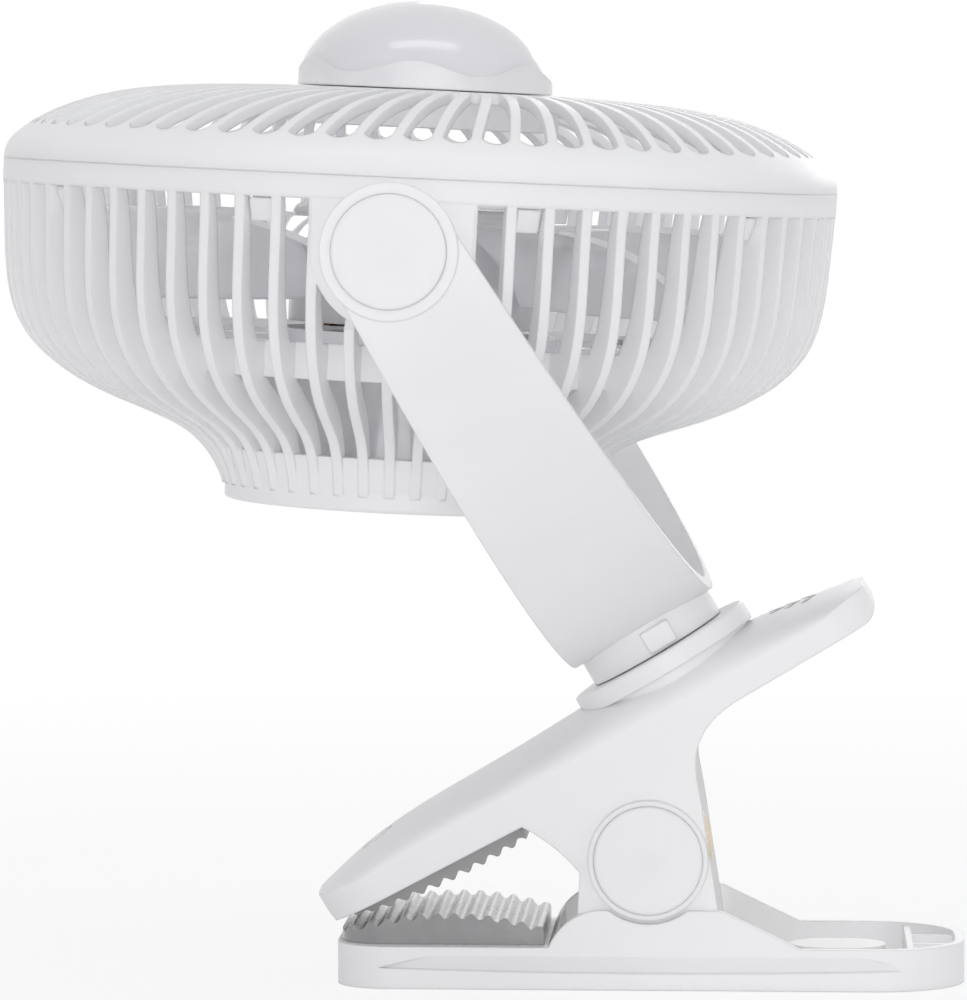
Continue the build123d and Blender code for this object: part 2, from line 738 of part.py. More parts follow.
# ---- fork, in the swivel's frame ----
def fork():
    lift = arm_reach
    inner = fork_outer - fork_thickness
    top = lift + 2 * fork_end_radius
    profile = make_face([
        ThreePointArc((-fork_outer, lift), (0, lift - fork_outer), (fork_outer, lift)),
        Polyline((fork_outer, lift), (fork_outer, top), (inner, top), (inner, lift)),
        ThreePointArc((inner, lift), (0, lift - inner), (-inner, lift)),
        Polyline((-inner, lift), (-inner, top), (-fork_outer, top), (-fork_outer, lift)),
    ])
    strip = extrude(Plane.YZ * profile, amount=30, both=True)
    foot = fork_foot_width / 2
    shoulder = fork_end_radius - fork_shoulder
    front = make_face(Polyline((-foot, 0), (foot, 0), (shoulder, lift), (-shoulder, lift), close=True))
    front += Pos(0, lift) * Circle(fork_end_radius - fork_step)
    body = strip & prism_across(front, fork_outer + 1)
    # neck that turns on the plate, with the small rib on its side
    neck = rod(neck_radius, running_gap, bolt_seat - fork_thickness / 2)
    under = make_face([Line((-60, lift), (-60, -5)), Line((-60, -5), (60, -5)), Line((60, -5), (60, lift)),
                       Line((60, lift), (-60, lift))]) - Pos(0, lift) * Circle(inner + 0.5)
    body += neck & extrude(Plane.YZ * under, amount=40, both=True)
    body += block(-1, 6, -neck_radius - 0.8, -neck_radius + 2, running_gap + 0.6, strip_bottom)
    for side in (-1, 1):
        y0, y1 = sorted((side * (inner + fork_thickness / 2), side * fork_end_face))
        body += rod_along_y(fork_end_radius, y0, y1, 0, lift)
        y0, y1 = sorted((side * fork_pad_face, side * (inner + 0.5)))
        body += rod_along_y(fork_pad_radius, y0, y1, 0, lift)
        seat = fork_pad_face + pivot_plate
        y0, y1 = sorted((side * seat, side * (fork_end_face + 1)))
        body -= rod_along_y(pivot_head_radius + 1, y0, y1, 0, lift)
        y0, y1 = sorted((side * (fork_end_face - 0.8), side * (fork_end_face + 1)))
        body -= rod_along_y(pivot_cap_radius + seat_gap, y0, y1, 0, lift)
    body -= rod_along_y(pivot_screw_radius + shaft_clearance, -150, 150, 0, lift)
    body -= rod(bolt_radius + seat_gap, -5, 40)
    flat = rod(bolt_head_radius + 1.5, bolt_seat, bolt_seat + 12)
    return body - flat


def pivot_cap(side):
    inner = fork_end_face - 0.8
    y0, y1 = sorted((side * inner, side * (inner + pivot_cap_height)))
    cap = rod_along_y(pivot_cap_radius, y0, y1, 0, arm_reach)
    rim = cap.edges().filter_by(GeomType.CIRCLE).sort_by(Axis.Y)[-1 if side > 0 else 0]
    return fillet(rim, 0.5)


def pivot_washer(side):
    y0, y1 = sorted((side * (fork_pad_face - pivot_washer_thickness), side * (fork_pad_face - 0.01)))
    body = rod_along_y(fork_pad_radius - 1, y0, y1, 0, arm_reach)
    return body - rod_along_y(pivot_screw_radius + shaft_clearance, -150, 150, 0, arm_reach)


def pivot_screw(side):
    """In the head's frame, since it turns with the head."""
    seat = fork_pad_face + pivot_plate + running_gap
    y0, y1 = sorted((side * (insert_inner + 0.5), side * (seat + 0.2)))
    body = rod_along_y(pivot_screw_radius, y0, y1, 0, pivot_level)
    y0, y1 = sorted((side * seat, side * (seat + pivot_head_height)))
    return body + rod_along_y(pivot_head_radius, y0, y1, 0, pivot_level)


def pivot_insert(side):
    y0, y1 = sorted((side * insert_inner, side * insert_outer))
    body = rod_along_y(insert_radius, y0, y1, 0, pivot_level)
    return body - rod_along_y(pivot_screw_radius, -150, 150, 0, pivot_level)


# ---- head sections: a circle at the seam that draws in to the oblong neck ----
def section_offset(half_width):
    share = (head_radius - half_width) / (head_radius - neck_half_width)
    return neck_offset * min(max(share, 0.0), 1.0)


def section_reach(half_width, angle, shift=None):
    """Distance from the head's axis to the section's outline, at an angle from Y."""
    shift = section_offset(half_width) if shift is None else shift
    c, s = abs(cos(angle)), abs(sin(angle))
    reach = shift * c + sqrt(max(half_width ** 2 - (shift * s) ** 2, 0.0))
    return reach if reach * c >= shift else half_width / s


deck_offset = section_offset(deck_half_width)


def oblong(half_width, level, shift=None):
    shift = section_offset(half_width) if shift is None else shift
    length = 2 * (half_width + shift)
    return Pos(0, 0, level) * Rot(0, 0, 90) * SlotOverall(length, 2 * half_width)


def oblong_tube(outer, inner, z0, z1, shift=None):
    wall = extrude(oblong(outer, z0, shift), z1 - z0)
    return wall - extrude(oblong(inner, z0 - 1, shift), z1 - z0 + 2)


def fin(angle, start_low):
    """One radial fin as a plate in X and Z, before it is turned to its place."""
    at = lambda points: [(section_reach(w, angle), level) for w, level in points]
    if start_low:
        outer = at(fin_outer[1:])
        top_outer = (section_reach(91.2, angle), -33.0)
        outer = [top_outer] + outer
        inner_top = at(fin_inner_top[2:])
        lead = [Line(inner_top[0], outer[0])]
    else:
        top_outer = (head_radius - 0.1, -band_height + 1)
        outer = [top_outer] + at(fin_outer)
        inner_top = at(fin_inner_top)
        lead = [Line(inner_top[0], top_outer)]
    rim_reach = section_reach(deck_half_width - deck_rim / 2, angle, deck_offset)
    rim, rim_low = (rim_reach, deck_top), (rim_reach, deck_bottom)
    inner_low = at(fin_inner_low)
    edges = lead + [
        Spline(*outer),
        Line(outer[-1], inner_low[-1]),
        Spline(*reversed(inner_low)),
        Line(inner_low[0], rim_low),
        Line(rim_low, rim),
        Line(rim, inner_top[-1]),
        Spline(*reversed(inner_top)) if len(inner_top) > 2 else Line(inner_top[-1], inner_top[0]),
    ]
    return extrude(Plane.XZ * make_face(edges), amount=fin_thickness / 2, both=True)


def rear_cage():
    band = tube(head_radius, head_radius - band_thickness, -band_height, 0)
    band = fillet(band.edges().filter_by(GeomType.CIRCLE).sort_by(Axis.Z)[:2], 0.8)
    panel_edge = [(section_reach(w, 0.0), level) for w, level in ((94.9, -8), (94.0, -22), (91.0, -34))]
    thick = panel_thickness
    profile = make_face([
        Line((head_radius - thick, -1), (head_radius, -1)),
        Spline((head_radius, -1), *panel_edge),
        Line(panel_edge[-1], (panel_edge[-1][0] - thick, -34)),
        Spline((panel_edge[-1][0] - thick, -34), (panel_edge[1][0] - thick, -22), (head_radius - thick, -1)),
    ])
    shell = revolve(Plane.XZ * profile, Axis.Z)
    pieces = []
    for side in (-1, 1):
        y0, y1 = sorted((side * 70, side * 110))
        window = rod_along_y(panel_radius, y0, y1, 0, pivot_level)
        window += block(-panel_radius, panel_radius, y0, y1, pivot_level, -1)
        pieces.append(shell & window)
        y0, y1 = sorted((side * pivot_boss_inner, side * pivot_boss_face))
        pieces.append(rod_along_y(pivot_boss_radius, y0, y1, 0, pivot_level))
    pitch = 360 / cage_positions
    for k in range(cage_positions):
        angle = (k * pitch + 180) % 360 - 180
        near_pivot = min(abs(angle), 180 - abs(angle)) < 1.5 * pitch
        # angle zero is -Y; a plate drawn along +X turns there by -90
        pieces.append(Rot(0, 0, angle - 90) * fin(radians(angle), near_pivot))
    rim = oblong_tube(deck_half_width, deck_half_width - deck_rim, deck_bottom, deck_top, deck_offset)
    ledge = oblong_tube(deck_half_width - deck_rim + 0.1, deck_half_width - deck_rim - deck_ledge,
                        deck_ledge_level - 2, deck_ledge_level, deck_offset)
    flare = loft([oblong(neck_half_width + 2.6, neck_wall_top, neck_offset),
                  oblong(neck_half_width, neck_wall_top - 7.7, neck_offset)])
    wall = extrude(oblong(neck_half_width, neck_bottom, neck_offset), neck_wall_top - 7.7 - neck_bottom)
    wall = fillet(wall.edges().filter_by(lambda e: abs(e.center().Z - neck_bottom) < 0.01), 1.0)
    bore = extrude(oblong(neck_half_width - neck_wall, neck_bottom - 1, neck_offset), 20)
    neck = (flare + wall) - bore
    cage = joined(band, pieces + [rim, ledge, neck])
    cage -= extrude(oblong(neck_half_width - neck_wall, neck_bottom - 1, neck_offset), 18)
    for side in (-1, 1):
        y0, y1 = sorted((side * (pivot_boss_inner - 1), side * (insert_outer + 0.1)))
        cage -= rod_along_y(insert_radius + seat_gap, y0, y1, 0, pivot_level)
    cage -= rod_along_y(pivot_screw_radius + 0.2, -150, 150, 0, pivot_level)
    for x, y in deck_screw_places:
        cage -= rod(small_screw_radius, deck_ledge_level - 5, deck_ledge_level + 1, x, y)
        cage -= rod(small_head_radius, deck_ledge_level, deck_ledge_level + 6, x, y)
    return cage


def deck_place(angle):
    reach = section_reach(deck_half_width - deck_rim - deck_ledge / 2, radians(angle), deck_offset)
    return (reach * sin(radians(angle)), -reach * cos(radians(angle)))


deck_screw_places = [deck_place(angle) for angle in (36, 144, 216, 324)]


# ---- front grille ----
def grille_side(angle_offset, side, slot_count, r0, r1):
    """One side of a slot: an arc from its outer end r0 to its inner end r1."""
    pitch = 2 * pi / slot_count
    points = []
    for r in (r0, (r0 + r1) / 2, r1):
        lean = radians(slot_swirl) * ((slot_outer - r) / (slot_outer - inner_slot_inner)) ** 1.25
        half = pitch / 2 - slot_rib / (2 * r)
        a = angle_offset + lean + side * half
        points.append((r * cos(a), r * sin(a)))
    return points


def grille_slot(angle_offset, slot_count, r0, r1):
    left = grille_side(angle_offset, -1, slot_count, r0, r1)
    right = grille_side(angle_offset, 1, slot_count, r0, r1)
    bulge = 1.6

    def cap(a, b, outward):
        mid = ((a[0] + b[0]) / 2, (a[1] + b[1]) / 2)
        size = sqrt(mid[0] ** 2 + mid[1] ** 2)
        k = (size + outward) / size
        return ThreePointArc(a, (mid[0] * k, mid[1] * k), b)

    return make_face([ThreePointArc(*left), cap(left[-1], right[-1], -bulge / 2),
                      ThreePointArc(*reversed(right)), cap(right[0], left[0], bulge)])


def front_grille():
    base = ((head_radius, 0.0),) + grille_profile
    wall = grille_wall
    inner = [(head_radius - 3.4, 0.0), (91.0, 3.4), (87.2, 7.2), (80.0, 10.9), (68.0, 14.1), (50.0, 16.4)]
    profile = make_face([
        Spline(*base, (grille_flat_radius, grille_crown), tangents=((0, 1), (-1, 0)), tangent_scalars=(1, 1)),
        Line((grille_flat_radius, grille_crown), (0, grille_crown)),
        Line((0, grille_crown), (0, grille_crown - wall)),
        Line((0, grille_crown - wall), (grille_flat_radius, grille_crown - wall)),
        Spline((grille_flat_radius, grille_crown - wall), *reversed(inner), tangents=((1, 0), (0.4, -1))),
        Line((head_radius - 3.4, 0.0), (head_radius, 0.0)),
    ])
    shell = revolve(Plane.XZ * profile, Axis.Z)
    slots = []
    for i in range(grille_slots):
        slots.append(grille_slot(2 * pi * (i + 0.5) / grille_slots - pi / 2, grille_slots,
                                 slot_outer, slot_inner))
    for i in range(inner_slots):
        slots.append(grille_slot(2 * pi * (i + 0.5) / inner_slots - pi / 2, inner_slots,
                                 inner_slot_outer, inner_slot_inner))
    cutters = [extrude(slot, 30) for slot in slots]
    shell = shell.cut(*cutters)
    pod = tube(pod_radius, pod_radius - 1.8, pod_bottom, grille_crown - wall + 0.5)
    extra = [pod]
    outer_face = head_radius - band_thickness - loose_gap
    for i in range(hook_count):
        angle = 18 + 36 * i - 90
        tab = block(outer_face - hook_thickness, outer_face, -hook_width / 2, hook_width / 2,
                    -hook_length, 2.0)
        nose = make_face(Polyline((outer_face - 0.1, -band_height - 0.3), (outer_face + 1.6, -band_height - 0.3),
                                  (outer_face + 1.6, -band_height - 1.6), (outer_face - 0.1, -hook_length),
                                  close=True))
        extra.append(Rot(0, 0, angle) * (tab + prism_across(nose, hook_width / 2)))
    body = joined(shell, extra)
    return body - rod(post_radius + seat_gap, 0, 40)


# ---- dial and lamp ----
def dial_ring():
    low = grille_crown + running_gap
    point = lambda angle, radius: (radius * cos(angle), radius * sin(angle))
    # wide flutes are arcs between the ridges
    edges = []
    pitch = 2 * pi / dial_lobes
    start = -pi / 2 + pitch / 2 - radians(dial_rest_angle)
    for i in range(dial_lobes):
        a0, a1 = start + i * pitch, start + (i + 1) * pitch
        edges.append(ThreePointArc(point(a0, dial_ridge_radius), point((a0 + a1) / 2, dial_flute_radius),
                                   point(a1, dial_ridge_radius)))
    collar = Pos(0, 0, low) * extrude(make_face(edges), dial_height)
    # the ridges' tops slope down along the dome
    collar &= dome_solid(dial_lip) + rod(40, low - 1, dome_base + 2)
    collar -= rod(dial_flute_radius - dial_wall, low + dial_web, low + dial_height + 1)
    collar += rod(post_radius + 3, low, low + dial_hub_height)
    return collar - rod(post_radius + shaft_clearance, low - 1, low + 20)


def dome_solid(extra=0.0):
    """Half ellipsoid over the lamp."""
    half = dome_half_width + extra
    top = dome_base + dome_rise + extra
    round_off = 0.5523
    face = make_face([
        Bezier((half, dome_base), (half, dome_base + (top - dome_base) * round_off),
               (half * round_off, top), (0, top)),
        Line((0, top), (0, dome_base)),
        Line((0, dome_base), (half, dome_base)),
    ])
    return revolve(Plane.XZ * face, Axis.Z)


def lamp_dome():
    seat = collar_top + 0.02
    inside = dial_flute_radius - dial_wall - seat_gap
    shell = dome_solid() - dome_solid(-dome_wall) - rod(60, 0, seat)
    return shell + tube(inside, inside - dome_wall, seat - 3, seat + 1.2)


collar_top = grille_crown + running_gap + dial_height


def lamp_post():
    low = grille_crown + running_gap
    neck_top = low + dial_hub_height + running_gap
    body = rod(post_radius, pod_bottom, neck_top + 0.1)
    body += rod(post_flange_radius, neck_top, lamp_level)
    body += rod(post_flange_radius, pod_bottom + 3, grille_crown - grille_wall)
    return body - rod(2.2, pod_bottom - 1, lamp_level + 1)


def lamp_board():
    return tube(lamp_board_radius, 2.2, lamp_level, lamp_level + board_thickness)


def lamp_leds():
    top = lamp_level + board_thickness
    return [Rot(0, 0, 360 / led_count * i) * block(led_ring_radius - 1.75, led_ring_radius + 1.75,
                                                   -1.4, 1.4, top, top + 0.9) for i in range(led_count)]


def dial_encoder():
    high = grille_crown - grille_wall
    return tube(encoder_radius + 5, post_flange_radius + 0.5, high - 3, high)


# ---- impeller and motor ----
def blade_section(radius, pitch, chord):
    """Curved section of a blade, square to the radius."""
    half = chord / 2
    camber = chord * 0.09
    t = blade_thickness / 2
    face = make_face([
        ThreePointArc((-half, -t / 2), (0, camber - t), (half, -t / 2)),
        Line((half, -t / 2), (half, t / 2)),
        ThreePointArc((half, t / 2), (0, camber + t), (-half, t / 2)),
        Line((-half, t / 2), (-half, -t / 2)),
    ])
    turned = Rot(0, 0, -pitch) * face
    return Plane(origin=(radius, 0, blade_middle), x_dir=(0, 1, 0), z_dir=(1, 0, 0)) * turned


def impeller():
    cup = rod(hub_radius, hub_bottom, hub_top)
    cup = fillet(cup.edges().filter_by(GeomType.CIRCLE).sort_by(Axis.Z)[-1], 3)
    cup -= rod(hub_radius - hub_wall, hub_bottom - 1, hub_top - hub_wall)
    middle = (hub_radius + blade_tip_radius) / 2
    sections = [
        blade_section(hub_radius - 1.2, blade_root_pitch, blade_root_chord),
        blade_section(middle, (blade_root_pitch + blade_tip_pitch) / 2, (blade_root_chord + blade_tip_chord) / 2),
        blade_section(blade_tip_radius + 4, blade_tip_pitch, blade_tip_chord),
    ]
    blade = loft(sections) & rod(blade_tip_radius, hub_bottom, hub_top + 4)
    blade -= rod(hub_radius - hub_wall / 2, hub_bottom - 5, hub_top + 5)
    blades = [Rot(0, 0, 360 / blade_count * i) * blade for i in range(blade_count)]
    return joined(cup, blades) - rod(shaft_radius, hub_bottom, hub_top + 1)


can_outer = hub_radius - hub_wall - seat_gap
can_top = hub_top - hub_wall - seat_gap


def rotor_can():
    body = rod(can_outer, hub_bottom + 1, can_top) - rod(can_outer - can_wall, hub_bottom, can_top - can_wall)
    return body - rod(shaft_radius, hub_bottom, can_top + 1)


magnet_outer = can_outer - can_wall - 0.02
magnet_inner = magnet_outer - magnet_thickness


def magnet_ring():
    return tube(magnet_outer, magnet_inner, hub_bottom + 2, hub_bottom + 2 + stator_height)


stator_radius = magnet_inner - air_gap


def motor_stator():
    z0, z1 = stator_bottom, stator_bottom + stator_height
    body = tube(bearing_tube_radius + 4, bearing_tube_radius + 0.02, z0, z1)
    teeth = []
    for i in range(stator_poles):
        arm = block(bearing_tube_radius + 3, stator_radius - 1.5, -1.5, 1.5, z0, z1)
        shoe = tube(stator_radius, stator_radius - 2, z0, z1) & block(0, 40, -5.6, 5.6, z0, z1)
        teeth.append(Rot(0, 0, 360 / stator_poles * i) * (arm + shoe))
    return joined(body, teeth)


def motor_windings():
    """A rounded bundle on each tooth, hollow where the tooth passes."""
    z0, z1 = stator_bottom, stator_bottom + stator_height
    inner, outer = bearing_tube_radius + 4.6, stator_radius - 2.5
    bundles = []
    for i in range(stator_poles):
        bulk = block(inner, outer, -3.1, 3.1, z0 - 2, z1 + 2)
        bulk = fillet(bulk.edges().filter_by(Axis.X), 1.2)
        bulk -= block(inner - 1, outer + 1, -1.52, 1.52, z0 - 0.02, z1 + 0.02)
        bundles.append(Rot(0, 0, 360 / stator_poles * i) * bulk)
    return bundles


def motor_board():
    return tube(stator_radius + 1, bearing_tube_radius + 0.3, deck_ledge_level + motor_deck_thickness + 0.4,
                deck_ledge_level + motor_deck_thickness + 0.4 + board_thickness)


def motor_shaft():
    return rod(shaft_radius, deck_ledge_level + 0.6, hub_top + 0.6)


lower_bearing_z = deck_ledge_level + 2.4
upper_bearing_z = stator_bottom + stator_height + 4


def motor_bearings():
    return [tube(bearing_outer, shaft_radius + bearing_clearance, z, z + bearing_width)
            for z in (lower_bearing_z, upper_bearing_z)]


def shaft_clip():
    ring = tube(shaft_radius + 1.6, shaft_radius, lower_bearing_z - 0.9, lower_bearing_z - 0.3)
    return ring - block(0, 9, -1.2, 1.2, -99, 0)


def motor_deck():
    """Spoked plate with the tube that holds the bearings."""
    z0, z1 = deck_ledge_level, deck_ledge_level + motor_deck_thickness
    outer = deck_half_width - deck_rim - loose_gap
    plate = oblong_tube(outer, outer - deck_ledge - 1, z0, z1, deck_offset)
    seat = rod(motor_seat_radius, z0, z1)
    spokes = []
    for i in range(spoke_count):
        angle = 360 / spoke_count * i
        reach = section_reach(deck_half_width - deck_rim - deck_ledge, radians(angle), deck_offset)
        spokes.append(Rot(0, 0, angle - 90) * block(20, reach, -spoke_width / 2, spoke_width / 2, z0, z1))
    stem = rod(bearing_tube_radius, z0, upper_bearing_z + bearing_width)
    stub = tube(motor_seat_radius, motor_seat_radius - 2, z1 - 0.1, stator_bottom - 2.6)
    body = joined(plate, [seat, stem, stub] + spokes)
    body -= rod(bearing_outer, lower_bearing_z, upper_bearing_z + bearing_width + 1)
    body -= rod(shaft_radius + 2, z0 - 1, lower_bearing_z + 1)
    body += tube(bearing_outer + 0.5, shaft_radius + 1.5, lower_bearing_z + bearing_width,
                 upper_bearing_z - 0.01)
    for x, y in deck_screw_places:
        body -= rod(small_screw_radius + 0.1, z0 - 1, z1 + 1, x, y)
    return body


def deck_screws():
    z1 = deck_ledge_level + motor_deck_thickness
    return [rod(small_screw_radius, deck_ledge_level - 1.8, z1 + 0.2, x, y)
            + rod(small_head_radius - 0.8, z1, z1 + 1.2, x, y) for x, y in deck_screw_places]


# ---- neck: compartment, cells, board, cover, keys ----
compartment_half = neck_half_width - neck_wall - loose_gap
compartment_low = neck_bottom + cover_thickness + 0.3


def compartment():
    z1 = deck_ledge_level
    inner = compartment_half - compartment_wall
    wall = oblong_tube(compartment_half, inner, compartment_low, z1, neck_offset)
    lid = extrude(oblong(compartment_half, z1 - compartment_wall, neck_offset), compartment_wall)
    posts = []
    for sx in (-1, 1):
        for sy in (-1, 1):
            posts.append(rod(cover_post_radius, compartment_low, tray_top - tray_thickness - 0.1,
                             sx * cover_post_x, sy * cover_post_y))
            posts.append(block(*sorted((sx * (cover_post_x + 1), sx * (inner + 0.5))),
                               sy * cover_post_y - 1, sy * cover_post_y + 1,
                               compartment_low, tray_top - tray_thickness - 0.1))
    body = joined(wall, [lid] + posts)
    for sx in (-1, 1):
        for sy in (-1, 1):
            body -= rod(small_screw_radius, compartment_low - 1, compartment_low + 8,
                        sx * cover_post_x, sy * cover_post_y)
    return body - rod(shaft_radius + 3, z1 - 1.2, z1 + 1)


cell_level = deck_ledge_level - compartment_wall - loose_gap - cell_radius
tray_top = cell_level - cell_radius


def battery_cells():
    cells = []
    for i in range(cell_count):
        x = (i - (cell_count - 1) / 2) * cell_pitch
        cell = rod_along_y(cell_radius, -cell_length / 2, cell_length / 2, x, cell_level)
        tip = rod_along_y(2.8, cell_length / 2, cell_length / 2 + 0.9, x, cell_level)
        cells.append(cell + tip)
    return cells


def battery_tray():
    inner = compartment_half - compartment_wall - loose_gap
    plate = extrude(oblong(inner, tray_top - tray_thickness, neck_offset), tray_thickness - 0.05)
    rails = []
    for i in range(cell_count + 1):
        x = (i - cell_count / 2) * cell_pitch
        rails.append(block(x - 0.7, x + 0.7, -cell_length / 2 + 4, cell_length / 2 - 4,
                           tray_top - 0.2, tray_top + 2.0))
    ends = [block(-cell_pitch * 1.4, cell_pitch * 1.4, *sorted((side * (cell_length / 2 + 1.3),
            side * (cell_length / 2 + 2.7))), tray_top - 0.2, cell_level) for side in (-1, 1)]
    feet = [rod(2.2, board_top, tray_top - tray_thickness + 0.1, sx * 20, sy * 40)
            for sx in (-1, 1) for sy in (-1, 1)]
    bores = [rod_along_y(cell_radius + 0.05, -cell_length / 2, cell_length / 2,
                         (i - (cell_count - 1) / 2) * cell_pitch, cell_level) for i in range(cell_count)]
    return joined(plate, rails + ends + feet).cut(*bores)


board_top = tray_top - tray_thickness - board_drop
board_bottom = board_top - board_thickness


def main_board():
    return block(-board_half_width, board_half_width, -board_half_length, board_half_length,
                 board_bottom, board_top)


key_places = ((power_button_y, power_button_radius), (light_button_y, light_button_radius))
switch_face = board_bottom - switch_height


def key_switches():
    switches = []
    for y, _ in key_places:
        base = block(-3, 3, y - 3, y + 3, board_bottom - 1.6, board_bottom)
        switches.append(base + rod(1.7, switch_face, board_bottom - 1.5, 0, y))
    return switches


def rear_cover():
    z0, z1 = neck_bottom, neck_bottom + cover_thickness
    body = extrude(oblong(neck_half_width - neck_wall - loose_gap, z0, neck_offset), cover_thickness)
    for y, radius in key_places:
        body -= rod(radius + running_gap, z0 - 1, z1 + 1, 0, y)
    body -= block(-usb_width / 2 - loose_gap, usb_width / 2 + loose_gap, usb_y - usb_thickness / 2 - loose_gap,
                  usb_y + usb_thickness / 2 + loose_gap, z0 - 1, z1 + 1)
    body -= block(-indicator_length / 2, indicator_length / 2, indicator_y - indicator_width / 2,
                  indicator_y + indicator_width / 2, z0 - 1, z1 + 1)
    for sx in (-1, 1):
        for sy in (-1, 1):
            x, y = sx * cover_post_x, sy * cover_post_y
            body -= rod(small_screw_radius + 0.1, z0 - 1, z1 + 1, x, y)
            body -= rod(small_head_radius + 0.1, z0 - 1, z0 + 1.3, x, y)
    return body


def cover_screws():
    z0 = neck_bottom
    return [rod(small_head_radius, z0 + 0.1, z0 + 1.3, sx * cover_post_x, sy * cover_post_y)
            + rod(small_screw_radius, z0 + 1.2, compartment_low + 6, sx * cover_post_x, sy * cover_post_y)
            for sx in (-1, 1) for sy in (-1, 1)]


def push_button(y, radius):
    """Key cap with the collar that keeps it in the cover, and a stem to its switch."""
    inner = neck_bottom + cover_thickness + running_gap
    top = switch_face - button_travel - 0.1
    cap = rod(radius, neck_bottom - button_stand, inner + 0.1, 0, y)
    cap = fillet(cap.edges().filter_by(GeomType.CIRCLE).sort_by(Axis.Z)[0], 0.5)
    cap += rod(radius + 1.2, inner, inner + 0.9, 0, y)
    return cap + rod(1.6, inner, top, 0, y)


def usb_port():
    shell = block(-usb_width / 2, usb_width / 2, usb_y - usb_thickness / 2, usb_y + usb_thickness / 2,
                  neck_bottom + 0.3, board_bottom)
    shell = fillet(shell.edges().filter_by(Axis.Z), 1.4)
    mouth = block(-usb_width / 2 + 0.4, usb_width / 2 - 0.4, usb_y - usb_thickness / 2 + 0.4,
                  usb_y + usb_thickness / 2 - 0.4, neck_bottom - 1, board_bottom - 1.5)
    mouth = fillet(mouth.edges().filter_by(Axis.Z), 1.1)
    tongue = block(-usb_width / 2 + 1.4, usb_width / 2 - 1.4, usb_y - 0.35, usb_y + 0.35,
                   neck_bottom + 1.2, board_bottom - 1.4)
    return shell - mouth + tongue


def indicator_lens():
    return block(-indicator_length / 2 + seat_gap, indicator_length / 2 - seat_gap,
                 indicator_y - indicator_width / 2 + seat_gap, indicator_y + indicator_width / 2 - seat_gap,
                 neck_bottom, neck_bottom + cover_thickness + 1)


# ---- write the pieces ----
save("lower_jaw", lower_jaw())
save("lower_jaw_pad", lower_jaw_pad())
save("hinge_pin", hinge_pin())
save("spring_spool", spring_spool())
save("clip_spring", clip_spring())
save("upper_jaw", upper_jaw(), jaw_frame)
save("upper_jaw_pad", upper_jaw_pad(), jaw_frame)
save("hinge_caps", [hinge_cap(-1), hinge_cap(1)], jaw_frame)
save("swivel_plate", swivel_plate(), jaw_frame)
save("plate_screws", plate_screws(), jaw_frame)
save("swivel_bolt", swivel_bolt(), swivel_frame)
save("swivel_washers", swivel_washers(), swivel_frame)
save("swivel_nut", swivel_nut(), swivel_frame)
save("fork", fork(), swivel_frame)
save("pivot_caps", [pivot_cap(-1), pivot_cap(1)], swivel_frame)
save("pivot_washers", [pivot_washer(-1), pivot_washer(1)], swivel_frame)
save("pivot_screws", [pivot_screw(-1), pivot_screw(1)], head_frame)
save("pivot_inserts", [pivot_insert(-1), pivot_insert(1)], head_frame)
save("rear_cage", rear_cage(), head_frame)
save("front_grille", front_grille(), head_frame)
save("dial_ring", dial_ring(), head_frame)
save("lamp_dome", lamp_dome(), head_frame)
save("lamp_post", lamp_post(), head_frame)
save("lamp_board", lamp_board(), head_frame)
save("lamp_leds", lamp_leds(), head_frame)
save("dial_encoder", dial_encoder(), head_frame)
save("impeller", impeller(), head_frame)
save("rotor_can", rotor_can(), head_frame)
save("magnet_ring", magnet_ring(), head_frame)
save("motor_shaft", motor_shaft(), head_frame)
save("shaft_clip", shaft_clip(), head_frame)
save("motor_bearings", motor_bearings(), head_frame)
save("motor_stator", motor_stator(), head_frame)
save("motor_windings", motor_windings(), head_frame)
save("motor_board", motor_board(), head_frame)
save("motor_deck", motor_deck(), head_frame)
save("deck_screws", deck_screws(), head_frame)
save("compartment", compartment(), head_frame)
save("battery_cells", battery_cells(), head_frame)
save("battery_tray", battery_tray(), head_frame)
save("main_board", main_board(), head_frame)
save("key_switches", key_switches(), head_frame)
save("rear_cover", rear_cover(), head_frame)
save("cover_screws", cover_screws(), head_frame)
save("power_button", push_button(*key_places[0]), head_frame)
save("light_button", push_button(*key_places[1]), head_frame)
save("usb_port", usb_port(), head_frame)
save("indicator_lens", indicator_lens(), head_frame)
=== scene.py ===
import json
from math import acos, atan2, cos, pi, radians, sin, sqrt

import bmesh
import bpy
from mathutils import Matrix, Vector
from mathutils.bvhtree import BVHTree


